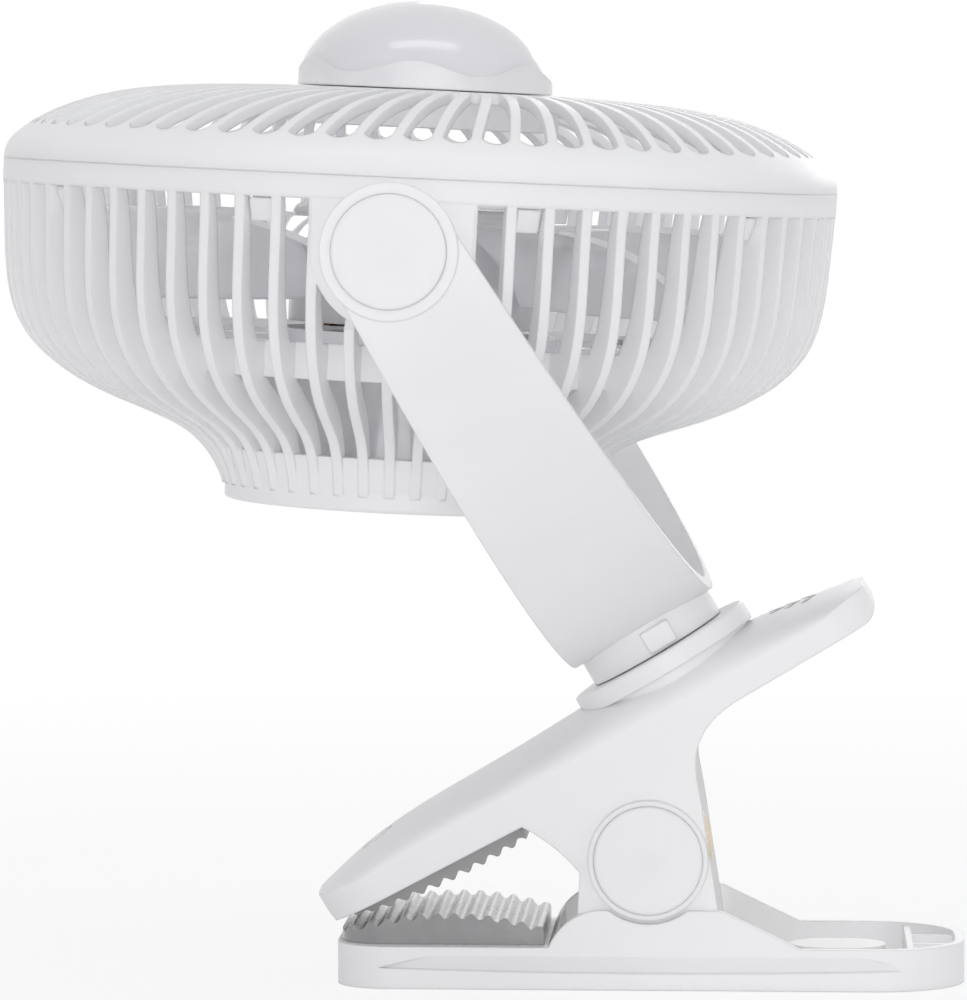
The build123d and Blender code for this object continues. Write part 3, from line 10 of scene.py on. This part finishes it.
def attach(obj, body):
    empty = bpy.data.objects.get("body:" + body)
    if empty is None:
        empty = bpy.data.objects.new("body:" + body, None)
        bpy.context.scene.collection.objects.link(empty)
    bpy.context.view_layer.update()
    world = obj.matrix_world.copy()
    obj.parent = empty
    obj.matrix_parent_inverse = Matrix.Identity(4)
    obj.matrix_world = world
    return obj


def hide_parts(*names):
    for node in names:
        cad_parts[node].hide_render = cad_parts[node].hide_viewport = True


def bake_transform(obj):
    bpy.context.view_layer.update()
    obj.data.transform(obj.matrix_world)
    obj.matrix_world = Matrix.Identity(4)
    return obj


# Clip fan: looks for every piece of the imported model, in metres, +Z up.
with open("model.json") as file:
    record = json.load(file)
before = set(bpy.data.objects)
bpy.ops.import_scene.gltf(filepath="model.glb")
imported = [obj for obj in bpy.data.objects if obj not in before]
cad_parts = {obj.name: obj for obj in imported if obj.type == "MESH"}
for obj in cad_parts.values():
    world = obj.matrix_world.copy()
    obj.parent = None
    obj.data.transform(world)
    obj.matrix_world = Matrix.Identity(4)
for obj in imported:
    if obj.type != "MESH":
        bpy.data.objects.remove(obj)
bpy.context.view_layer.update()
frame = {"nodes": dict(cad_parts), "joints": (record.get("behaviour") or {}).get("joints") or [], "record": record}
print("frame loaded:", len(frame["nodes"]), "nodes")


# the photograph's view, a plain white studio and soft light
camera = {
    "lookAt": (-0.03846, 0.0, 0.10943),
    "azimuth": 2.83,
    "elevation": 3.35,
    "distance": 1.350,
    "lens": 211.58,
    "sensor": 36.0,
    "clip": (0.05, 50.0),
}
studio = {
    "worldLight": 0.62,
    "worldTint": (0.985, 0.99, 1.0),
    "floorSize": 6.0,
    "floorDrop": 0.0002,
    "floorMatt": (0.9, 0.9, 0.9),
    "floorWhite": 0.84,      # share of the floor's colour that the lamps don't touch, near the object
    "floorFade": (0.30, 0.75),     # and it is all of it from here on, in metres from the middle
    "aim": (-0.04, 0.0, 0.12),
    "shadowless": "lampFront",     # it fills the inside of the cage, which thin plastic would light up
    "lamps": [
        # name, place, width, depth, power, colour
        ("lampFront", (0.10, -1.70, 0.06), 1.3, 0.5, 6.3, (1.0, 1.0, 1.0)),
        ("lampLeft", (-1.15, -1.30, 0.85), 0.8, 0.8, 0.5, (1.0, 1.0, 1.0)),
        ("lampRight", (1.35, -0.75, 0.55), 0.6, 0.6, 0.8, (1.0, 0.995, 0.985)),
        ("lampTop", (-0.02, -0.25, 1.35), 0.9, 0.26, 1.8, (0.985, 0.99, 1.0)),
        ("lampBack", (0.35, 1.45, 0.55), 1.0, 0.5, 2.6, (1.0, 1.0, 1.0)),
    ],
}


def placeCamera(c):
    a, e = radians(c["azimuth"]), radians(c["elevation"])
    back = Vector((sin(a) * cos(e), -cos(a) * cos(e), sin(e)))
    data = bpy.data.cameras.new("photoCamera")
    data.lens = c["lens"]
    data.sensor_width = c["sensor"]
    data.sensor_fit = "AUTO"
    data.clip_start, data.clip_end = c["clip"]
    made = bpy.data.objects.new("photoCamera", data)
    bpy.context.collection.objects.link(made)
    made.location = Vector(c["lookAt"]) + back * c["distance"]
    made.rotation_mode = "QUATERNION"
    made.rotation_quaternion = (-back).to_track_quat("-Z", "Y")
    bpy.context.scene.camera = made


placeCamera(camera)
bpy.context.scene.view_settings.view_transform = "Standard"


# a value wraps a socket, and sums on values add Math nodes
class Value:
    def __init__(self, finish, socket):
        self.finish = finish
        self.socket = socket

    def maths(self, operation, other, swapped=False):
        pair = {0: other, 1: self} if swapped else {0: self, 1: other}
        return self.finish.node("ShaderNodeMath", {"operation": operation}, pair)

    def __add__(self, other):
        return self.maths("ADD", other)

    def __radd__(self, other):
        return self.maths("ADD", other, True)

    def __mul__(self, other):
        return self.maths("MULTIPLY", other)

    def __rmul__(self, other):
        return self.maths("MULTIPLY", other, True)


class Finish:
    def __init__(self, name, owner=None):
        self.owner = owner or bpy.data.materials.new(name)
        self.owner.use_nodes = True
        self.tree = self.owner.node_tree
        self.tree.nodes.clear()

    def feed(self, socket, value):
        if isinstance(value, Value):
            self.tree.links.new(value.socket, socket)
        elif isinstance(value, (tuple, list)) and len(value) == 3 and socket.type == "RGBA":
            socket.default_value = (*value, 1.0)
        else:
            socket.default_value = value

    def node(self, kind, settings=None, sockets=None, output=0):
        made = self.tree.nodes.new(kind)
        for key, value in (settings or {}).items():
            setattr(made, key, value)
        for key, value in (sockets or {}).items():
            self.feed(made.inputs[key], value)
        return Value(self, made.outputs[output]) if len(made.outputs) else made

    # object coordinates, stretched along the axes
    def place(self, scale=(1, 1, 1)):
        coordinates = self.node("ShaderNodeTexCoord", output=3)
        return self.node("ShaderNodeMapping", {}, {"Vector": coordinates, "Scale": scale})

    def noise(self, scale, detail=2.0, roughness=0.5, where=None):
        where = where or self.place()
        return self.node("ShaderNodeTexNoise", {}, {"Vector": where, "Scale": scale, "Detail": detail,
                                                    "Roughness": roughness})

    def between(self, low, high, share):
        return self.node("ShaderNodeMix", {"data_type": "RGBA"}, {0: share, 6: low, 7: high}, 2)

    def ramp(self, value, low, high):
        return self.node("ShaderNodeMapRange", {"clamp": True},
                         {"Value": value, "From Min": low, "From Max": high, "To Min": 0.0, "To Max": 1.0})

    def rounded(self, radius):
        return self.node("ShaderNodeBevel", {"samples": 6}, {"Radius": radius})

    def bump(self, height, distance, strength=1.0, normal=None):
        sockets = {"Height": height, "Distance": distance, "Strength": strength}
        if normal is not None:
            sockets["Normal"] = normal
        return self.node("ShaderNodeBump", {}, sockets)

    def done(self, **sockets):
        names = {"colour": "Base Color", "roughness": "Roughness", "metallic": "Metallic", "normal": "Normal",
                 "coat": "Coat Weight", "coatRoughness": "Coat Roughness", "ior": "IOR",
                 "through": "Transmission Weight", "under": "Subsurface Weight",
                 "underReach": "Subsurface Radius", "underScale": "Subsurface Scale"}
        shader = self.node("ShaderNodeBsdfPrincipled", {}, {names[k]: v for k, v in sockets.items()})
        self.node("ShaderNodeOutputMaterial", {}, {"Surface": shader})
        return self.owner


# 1 for rays from the camera, a reflection or a see-through piece, which show plain white
def whiteRays(f):
    seen = f.node("ShaderNodeLightPath", output=0)
    glossy = f.node("ShaderNodeLightPath", output=3)
    through = f.node("ShaderNodeLightPath", output=6)
    return f.node("ShaderNodeMath", {"operation": "ADD", "use_clamp": True}, {0: seen + glossy, 1: through})


def makeWorld(s):
    world = bpy.data.worlds.new("studioWorld")
    bpy.context.scene.world = world
    f = Finish("studioWorld", world)
    white = whiteRays(f)
    lit = f.node("ShaderNodeBackground", {}, {"Color": s["worldTint"], "Strength": s["worldLight"]})
    clear = f.node("ShaderNodeBackground", {}, {"Color": (1.0, 1.0, 1.0), "Strength": 1.0})
    mixed = f.node("ShaderNodeMixShader", {}, {0: white, 1: lit, 2: clear})
    f.node("ShaderNodeOutputWorld", {}, {"Surface": mixed})


def makeFloor(s):
    bm = bmesh.new()
    bmesh.ops.create_grid(bm, x_segments=1, y_segments=1, size=s["floorSize"] / 2)
    mesh = bpy.data.meshes.new("studioFloor")
    bm.to_mesh(mesh)
    bm.free()
    floor = bpy.data.objects.new("studioFloor", mesh)
    bpy.context.collection.objects.link(floor)
    floor.location.z = -s["floorDrop"]
    f = Finish("floorWhite")
    white = whiteRays(f)
    away = f.node("ShaderNodeVectorMath", {"operation": "LENGTH"}, {0: f.place()}, 1)
    fade = f.ramp(away, *s["floorFade"])
    share = white * (fade * (1.0 - s["floorWhite"]) + s["floorWhite"])
    matt = f.node("ShaderNodeBsdfDiffuse", {}, {"Color": s["floorMatt"]})
    bright = f.node("ShaderNodeEmission", {}, {"Color": (1.0, 1.0, 1.0), "Strength": 1.0})
    mixed = f.node("ShaderNodeMixShader", {}, {0: share, 1: matt, 2: bright})
    f.node("ShaderNodeOutputMaterial", {}, {"Surface": mixed})
    mesh.materials.append(f.owner)


def makeLamps(s):
    target = Vector(s["aim"])
    for name, place, width, depth, power, colour in s["lamps"]:
        data = bpy.data.lights.new(name, "AREA")
        data.shape = "RECTANGLE"
        data.size = width
        data.size_y = depth
        data.energy = power
        data.color = colour
        data.use_shadow = name != s["shadowless"]
        lamp = bpy.data.objects.new(name, data)
        bpy.context.collection.objects.link(lamp)
        lamp.location = place
        lamp.rotation_mode = "QUATERNION"
        lamp.rotation_quaternion = (target - Vector(place)).to_track_quat("-Z", "Y")


makeWorld(studio)
makeFloor(studio)
makeLamps(studio)
print("studio set")


shellPlastic = {"colour": (0.925, 0.923, 0.934), "shade": (0.90, 0.898, 0.912), "roughness": 0.36,
                "grain": 2600.0, "edge": 0.0006}
dialPlastic = {"colour": (0.86, 0.858, 0.88), "shade": (0.835, 0.833, 0.86), "roughness": 0.36,
               "grain": 2600.0, "edge": 0.0004}


# moulded white plastic: faint flow marks, very fine spark-eroded grain
def whitePlastic(name, p, gloss=0.0):
    f = Finish(name)
    clouds = f.noise(22.0, 3.0)
    flow = f.noise(60.0, 4.0, 0.6, f.place(scale=(0.35, 1.0, 1.6)))
    tint = f.ramp(clouds * 0.6 + flow * 0.4, 0.38, 0.62)
    colour = f.between(p["shade"], p["colour"], tint)
    grain = f.noise(p["grain"], 2.0)
    wave = f.noise(90.0, 1.0)
    normal = f.bump(grain * 0.35 + wave * 1.6, 0.00006, 0.35, f.rounded(p["edge"]))
    roughness = f.ramp(flow, 0.3, 0.7) * 0.08 + (p["roughness"] - gloss)
    return f.done(colour=colour, roughness=roughness, normal=normal, ior=1.5, under=0.25,
                  underReach=(1.0, 1.0, 1.0), underScale=0.003)


tintedPlastic = {"colour": (0.93, 0.93, 0.965), "deep": (0.90, 0.90, 0.945), "roughness": 0.12}


# see-through milky plastic of the blades, hub and battery bay
def milkyPlastic(name, p, through, under=0.0, edge=0.0004):
    f = Finish(name)
    clouds = f.ramp(f.noise(35.0, 3.0), 0.35, 0.65)
    colour = f.between(p["deep"], p["colour"], clouds)
    wave = f.noise(70.0, 1.0)
    normal = f.bump(wave, 0.0001, 0.4, f.rounded(edge))
    roughness = clouds * 0.06 + p["roughness"]
    return f.done(colour=colour, roughness=roughness, normal=normal, ior=1.49, through=through,
                  under=under, underReach=(1.0, 1.0, 1.0), underScale=0.02, coat=0.4, coatRoughness=0.06)


domeMilk = {"colour": (0.80, 0.797, 0.832), "deep": (0.77, 0.765, 0.805), "roughness": 0.14,
            "ripple": 60.0}


def domePlastic(p):
    f = Finish("lampDomeMilky")
    clouds = f.ramp(f.noise(30.0, 3.0), 0.35, 0.65)
    colour = f.between(p["deep"], p["colour"], clouds)
    normal = f.bump(f.noise(p["ripple"], 1.0), 0.00008, 0.3)
    return f.done(colour=colour, roughness=clouds * 0.05 + p["roughness"], normal=normal, ior=1.49, under=0.35,
                  underReach=(1.0, 1.0, 1.0), underScale=0.004, coat=0.4, coatRoughness=0.1)


padRubber = {"colour": (0.27, 0.27, 0.275), "light": (0.345, 0.345, 0.35), "grain": 1500.0}


def rubber(p):
    f = Finish("jawRubber")
    clouds = f.ramp(f.noise(55.0, 4.0, 0.6), 0.3, 0.7)
    colour = f.between(p["colour"], p["light"], clouds)
    grain = f.noise(p["grain"], 3.0, 0.6)
    mottle = f.noise(260.0, 2.0)
    normal = f.bump(grain * 0.5 + mottle, 0.00012, 0.5, f.rounded(0.0004))
    return f.done(colour=colour, roughness=clouds * 0.12 + 0.2, normal=normal, ior=1.45, under=0.2,
                  underReach=(1.0, 1.0, 1.0), underScale=0.002, coat=0.4, coatRoughness=0.14)


# metals: drawn lines along one axis, a little tarnish
def metal(name, colour, dull, roughness, along=(1, 1, 1), grain=900.0, edge=0.0002):
    f = Finish(name)
    lines = f.noise(grain, 3.0, 0.6, f.place(scale=along))
    stain = f.ramp(f.noise(120.0, 4.0, 0.6), 0.4, 0.75)
    shown = f.between(colour, dull, stain)
    normal = f.bump(lines, 0.00004, 0.5, f.rounded(edge))
    return f.done(colour=shown, roughness=lines * 0.16 + roughness, metallic=1.0, normal=normal)


def paintedPlain(name, colour, other, roughness, scale=80.0, edge=0.0002):
    f = Finish(name)
    patch = f.ramp(f.noise(scale, 4.0, 0.6), 0.35, 0.65)
    shown = f.between(colour, other, patch)
    normal = f.bump(f.noise(1400.0, 2.0), 0.00005, 0.4, f.rounded(edge))
    return f.done(colour=shown, roughness=patch * 0.1 + roughness, normal=normal)


boardMask = {"colour": (0.045, 0.17, 0.095), "deep": (0.020, 0.10, 0.055), "roughness": 0.32, "grid": 260.0}


# printed board: solder mask with tracks in a fine grid
def boardFinish(p):
    f = Finish("circuitBoard")
    cells = f.node("ShaderNodeTexBrick", {"offset": 0.5},
                   {"Vector": f.place(), "Scale": p["grid"], "Mortar Size": 0.035, "Color1": (0.0, 0.0, 0.0),
                    "Color2": (1.0, 1.0, 1.0), "Mortar": (0.5, 0.5, 0.5)}, 1)
    colour = f.between(p["deep"], p["colour"], cells)
    normal = f.bump(cells, 0.00003, 0.6)
    return f.done(colour=colour, roughness=cells * 0.1 + p["roughness"], normal=normal, coat=0.3, coatRoughness=0.2)


enamelWire = {"colour": (0.72, 0.36, 0.2), "deep": (0.42, 0.17, 0.08), "turns": 700.0}


# wound enamelled wire: fine ridges round each bundle, with painted shade in the grooves between the turns
def windingFinish(p):
    f = Finish("copperWinding")
    ridges = f.node("ShaderNodeTexWave", {"wave_type": "BANDS", "bands_direction": "Z"},
                    {"Vector": f.place(), "Scale": p["turns"], "Distortion": 0.6, "Detail": 1.0}, 1)
    # painted shade: the deep copper colour lies in the troughs between the ridges
    colour = f.between(p["deep"], p["colour"], ridges)
    normal = f.bump(ridges, 0.0002, 0.8)
    return f.done(colour=colour, roughness=0.3, metallic=0.9, normal=normal)


chipFace = {"colour": (0.93, 0.9, 0.66), "deep": (0.86, 0.80, 0.45)}


def lampLens(p):
    f = Finish("lampChip")
    cells = f.noise(900.0, 2.0)
    colour = f.between(p["deep"], p["colour"], f.ramp(cells, 0.35, 0.65))
    return f.done(colour=colour, roughness=cells * 0.1 + 0.2, normal=f.bump(cells, 0.00004, 0.4))


white = whitePlastic("shellWhite", shellPlastic)
glossWhite = whitePlastic("dialWhite", dialPlastic, 0.16)
bladePlastic = milkyPlastic("bladeMilky", tintedPlastic, 0.05, 0.7)
bayPlastic = milkyPlastic("bayTinted", tintedPlastic, 0.04, 0.7)
lensPlastic = milkyPlastic("indicatorClear", {"colour": (0.75, 0.78, 0.82), "deep": (0.68, 0.72, 0.78),
                                              "roughness": 0.1}, 0.6)
milkyDome = domePlastic(domeMilk)
greyRubber = rubber(padRubber)
springSteel = metal("springWire", (0.70, 0.60, 0.47), (0.56, 0.42, 0.28), 0.2, (1, 6, 1), 1200.0)
steel = metal("plainSteel", (0.62, 0.62, 0.63), (0.45, 0.44, 0.43), 0.24)
darkSteel = metal("blackedSteel", (0.16, 0.16, 0.17), (0.09, 0.09, 0.1), 0.32)
brass = metal("turnedBrass", (0.72, 0.52, 0.25), (0.5, 0.33, 0.14), 0.24)
magnetGrey = metal("sinteredMagnet", (0.10, 0.10, 0.105), (0.06, 0.06, 0.065), 0.5)
blackPlastic = paintedPlain("blackPlastic", (0.02, 0.02, 0.022), (0.035, 0.035, 0.038), 0.4)
greyPlastic = paintedPlain("keyGrey", (0.46, 0.46, 0.48), (0.52, 0.52, 0.54), 0.34)
markGrey = paintedPlain("markInk", (0.44, 0.44, 0.46), (0.50, 0.50, 0.52), 0.42)
cellWrap = paintedPlain("cellSleeve", (0.05, 0.14, 0.36), (0.07, 0.18, 0.42), 0.22)
boardGreen = boardFinish(boardMask)
winding = windingFinish(enamelWire)
chip = lampLens(chipFace)

finishOfSlot = {
    "white_plastic": white, "white_gloss": glossWhite, "tinted_plastic": bayPlastic,
    "clear_plastic": bladePlastic, "dome_plastic": milkyDome, "grey_rubber": greyRubber,
    "spring_steel": springSteel, "steel": steel, "dark_steel": darkSteel, "brass": brass,
    "magnet": magnetGrey, "copper": winding, "board": boardGreen, "cell_wrap": cellWrap,
    "dark_plastic": blackPlastic, "grey_plastic": greyPlastic, "led_face": chip, "lens": lensPlastic,
}
for entry in frame["record"]["subparts"]:
    node = frame["nodes"][entry["node"]]
    for slot in node.material_slots:
        slot.material = finishOfSlot[entry["material_slot"]]
print("finishes given")

mergeWithin = 0.000004      # metres, for a copied or spun mesh


def copyOf(node):
    bm = bmesh.new()
    bm.from_mesh(frame["nodes"][node].data)
    bmesh.ops.remove_doubles(bm, verts=bm.verts, dist=mergeWithin)
    return bm


# makes a mesh a smooth piece with sharp creases, which rides on a body
def newPiece(name, bm, finish, body=None, crease=40.0):
    for face in bm.faces:
        face.smooth = True
    for edge in bm.edges:
        if len(edge.link_faces) == 2 and edge.calc_face_angle(0.0) > radians(crease):
            edge.smooth = False
    mesh = bpy.data.meshes.new(name)
    bm.to_mesh(mesh)
    bm.free()
    mesh.materials.append(finish)
    made = bpy.data.objects.new(name, mesh)
    bpy.context.collection.objects.link(made)
    if body:
        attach(made, body)
    return made


def makeSpring():
    bm = copyOf("clip_spring")
    made = newPiece("springWire", bm, springSteel, crease=60.0)
    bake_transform(made)
    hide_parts("clip_spring")
    print("spring wound")


makeSpring()

# the top of the upper jaw, which the marks are laid on from above
shellTop = {
    "lean": 30.8,            # its slope in degrees
    "hinge": (0.0, 0.0, 0.0294),
    "above": 0.06,           # where the rays that find the shell start
}

# three plain arrow marks on the thumb end, printed a hair proud of the shell
pressMarks = {
    "along": (0.0538, 0.0575, 0.0614),      # distance of each mark from the hinge
    "halfWidth": (0.0034, 0.0048, 0.0062),
    "length": 0.0024,
    "stroke": 0.0014,
    "joinWithin": 0.00001,
    "sunk": 0.0001,
    "proud": 0.00012,
}

# a plain raised oval ring near the mouth end of the same shell
ovalMark = {
    "along": -0.0525,
    "aside": -0.0045,
    "halfLength": 0.0042,
    "halfWidth": 0.0030,
    "stroke": 0.0007,
    "steps": 40,
    "sunk": 0.0001,
    "proud": 0.00016,
}

slope = radians(shellTop["lean"])
forward, up = Vector((cos(slope), 0, sin(slope))), Vector((-sin(slope), 0, cos(slope)))


# a point over the jaw, this far from the hinge and from the middle
def onTop(along, aside):
    return Vector(shellTop["hinge"]) + forward * along + Vector((0, aside, 0))


# lays a flat bmesh on the shell's crown, then gives it its thickness
def layOnShell(bm, mark):
    shell = copyOf("upper_jaw")
    tree = BVHTree.FromBMesh(shell)
    for vert in bm.verts:
        hit = tree.ray_cast(vert.co + up * shellTop["above"], -up)[0]
        vert.co = hit - up * mark["sunk"]
    grown = bmesh.ops.extrude_face_region(bm, geom=list(bm.faces))
    tops = [v for v in grown["geom"] if isinstance(v, bmesh.types.BMVert)]
    bmesh.ops.translate(bm, verts=tops, vec=up * (mark["sunk"] + mark["proud"]))
    bmesh.ops.recalc_face_normals(bm, faces=bm.faces)
    shell.free()


def makePressMarks(m):
    bm = bmesh.new()
    for along, half in zip(m["along"], m["halfWidth"]):
        for side in (-1, 1):
            corners = [(-m["length"] / 2 - m["stroke"], side * half), (-m["length"] / 2, side * half),
                       (m["length"] / 2, 0.0), (m["length"] / 2 - m["stroke"], 0.0)]
            face = bm.faces.new([bm.verts.new(onTop(along + u, y)) for u, y in corners])
            bmesh.ops.subdivide_edges(bm, edges=face.edges, cuts=3, use_grid_fill=True)
    bmesh.ops.remove_doubles(bm, verts=bm.verts, dist=m["joinWithin"])
    layOnShell(bm, m)
    made = newPiece("pressMarks", bm, markGrey, "upper_jaw", crease=30.0)


def makeOvalMark(m):
    bm = bmesh.new()
    bmesh.ops.create_circle(bm, cap_ends=True, segments=m["steps"], radius=1.0)
    border = bmesh.ops.inset_region(bm, faces=list(bm.faces), thickness=m["stroke"] / m["halfLength"],
                                    use_boundary=True)["faces"]
    bmesh.ops.delete(bm, geom=[f for f in bm.faces if f not in border], context="FACES")
    for vert in bm.verts:
        vert.co = onTop(m["along"] + vert.co.x * m["halfLength"], m["aside"] + vert.co.y * m["halfWidth"])
    layOnShell(bm, m)
    made = newPiece("ovalMark", bm, white, "upper_jaw", crease=30.0)


makePressMarks(pressMarks)
makeOvalMark(ovalMark)
print("marks set")

# the dial's collar and its milky dome, whose common lip waves up between the ridges, in millimetres
dial = {
    "lobes": 6,
    "restAngle": 2.0,        # degrees
    "steps": 288,
    "domeBase": 0.8,         # middle of the half ellipsoid
    "domeHalf": 29.0,
    "domeRise": 19.5,
    "domeWall": 1.6,
    "rim": 0.35,             # the lip stands this far out from the dome
    "lipWidth": 0.5,
    "lipEase": 0.08,
    "lipBack": (1.6, 0.9),       # inwards and down, behind the lip
    "domeUnderLip": 0.3,
    "lipMiddle": 4.85,
    "lipWave": 1.55,
    "ridge": 29.3,
    "fluteDepth": 1.1,
    "footEase": 0.25,
    "wall": ((0.35, 0.25), (0.70, 0.70)),       # share of the height, and how far the lip's shape shows there
    "wallInside": 1.7,
    "web": 1.6,
    "hubRadius": 11.0,
    "hubHeight": 3.6,
    "bore": 8.5,
    "domeRings": 30,
}
millimetre = 0.001


# where the dial's foot is on its axis, and the directions across and along that axis
def dialBasis(node):
    joint = next(j for j in frame["joints"] if j["name"] == "dial_turn")
    axis, anchor = Vector(joint["axis"]).normalized(), Vector(joint["pos_m"])
    across = Vector((0, 1, 0)).cross(axis).normalized()
    aside = axis.cross(across)
    low = min((v.co - anchor).dot(axis) for v in frame["nodes"][node].data.vertices)
    return anchor + axis * low, across, aside, axis


# spins a section round the dial's axis, then moves each point by its row and its turn between two ridges
def spinWavy(d, basis, section, closed):
    origin, across, aside, axis = basis
    bm = bmesh.new()
    rowOf = bm.verts.layers.int.new("row")
    rows = [bm.verts.new(origin + (across * r + axis * h) * millimetre) for r, h in section(0.5)]
    for k, vert in enumerate(rows):
        vert[rowOf] = k
    for one, other in zip(rows, rows[1:] + rows[:1] if closed else rows[1:]):
        bm.edges.new((one, other))
    bmesh.ops.spin(bm, geom=list(bm.verts) + list(bm.edges), cent=origin, axis=axis, angle=2 * pi,
                   steps=d["steps"], use_merge=True)
    pitch = 2 * pi / d["lobes"]
    first = -pi / 2 + pitch / 2 - radians(d["restAngle"])
    for vert in bm.verts:
        away = vert.co - origin
        angle = atan2(away.dot(aside), away.dot(across))
        radius, height = section(((angle - first) / pitch) % 1.0)[vert[rowOf]]
        vert.co = origin + ((across * cos(angle) + aside * sin(angle)) * radius + axis * height) * millimetre
    bmesh.ops.remove_doubles(bm, verts=bm.verts, dist=mergeWithin)
    bmesh.ops.recalc_face_normals(bm, faces=bm.faces)
    return bm


def makeDial(d):
    basis = dialBasis("dial_ring")

    def lipHeight(turn):
        return d["lipMiddle"] - d["lipWave"] * cos(2 * pi * turn)

    def domeRadius(height, grown):
        share = (height - d["domeBase"]) / (d["domeRise"] + grown)
        return (d["domeHalf"] + grown) * sqrt(1.0 - share * share)

    def collarSection(turn):
        lip = lipHeight(turn)
        out = domeRadius(lip, d["rim"])
        foot = d["ridge"] - d["fluteDepth"] * 4 * turn * (1 - turn)
        wall = [(foot * (1 - share) + out * share, lip * height) for height, share in d["wall"]]
        inwards, down = d["lipBack"]
        return [(d["bore"], 0.0), (foot - d["footEase"], 0.0), (foot, d["footEase"]), *wall,
                (out, lip - d["lipEase"]), (out - d["lipEase"], lip), (out - d["lipWidth"], lip),
                (out - inwards, lip - down), (out - d["wallInside"], d["web"]), (d["hubRadius"], d["web"]),
                (d["hubRadius"], d["hubHeight"]), (d["bore"], d["hubHeight"])]

    def domeSection(turn):
        rim = acos((lipHeight(turn) - d["domeUnderLip"] - d["domeBase"]) / d["domeRise"])
        leans = [rim * k / d["domeRings"] for k in range(d["domeRings"] + 1)]
        half, rise, base = d["domeHalf"], d["domeRise"], d["domeBase"]
        outer = [(half * sin(lean), base + rise * cos(lean)) for lean in leans]
        half, rise = half - d["domeWall"], rise - d["domeWall"]
        return outer + [(half * sin(lean), base + rise * cos(lean)) for lean in reversed(leans)]

    collar = newPiece("dialCollar", spinWavy(d, basis, collarSection, True), glossWhite, "dial", crease=35.0)
    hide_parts("dial_ring")
    dome = newPiece("lampDome", spinWavy(d, basis, domeSection, False), milkyDome, "dial", crease=50.0)
    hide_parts("lamp_dome")
    print("dial turned")


makeDial(dial)
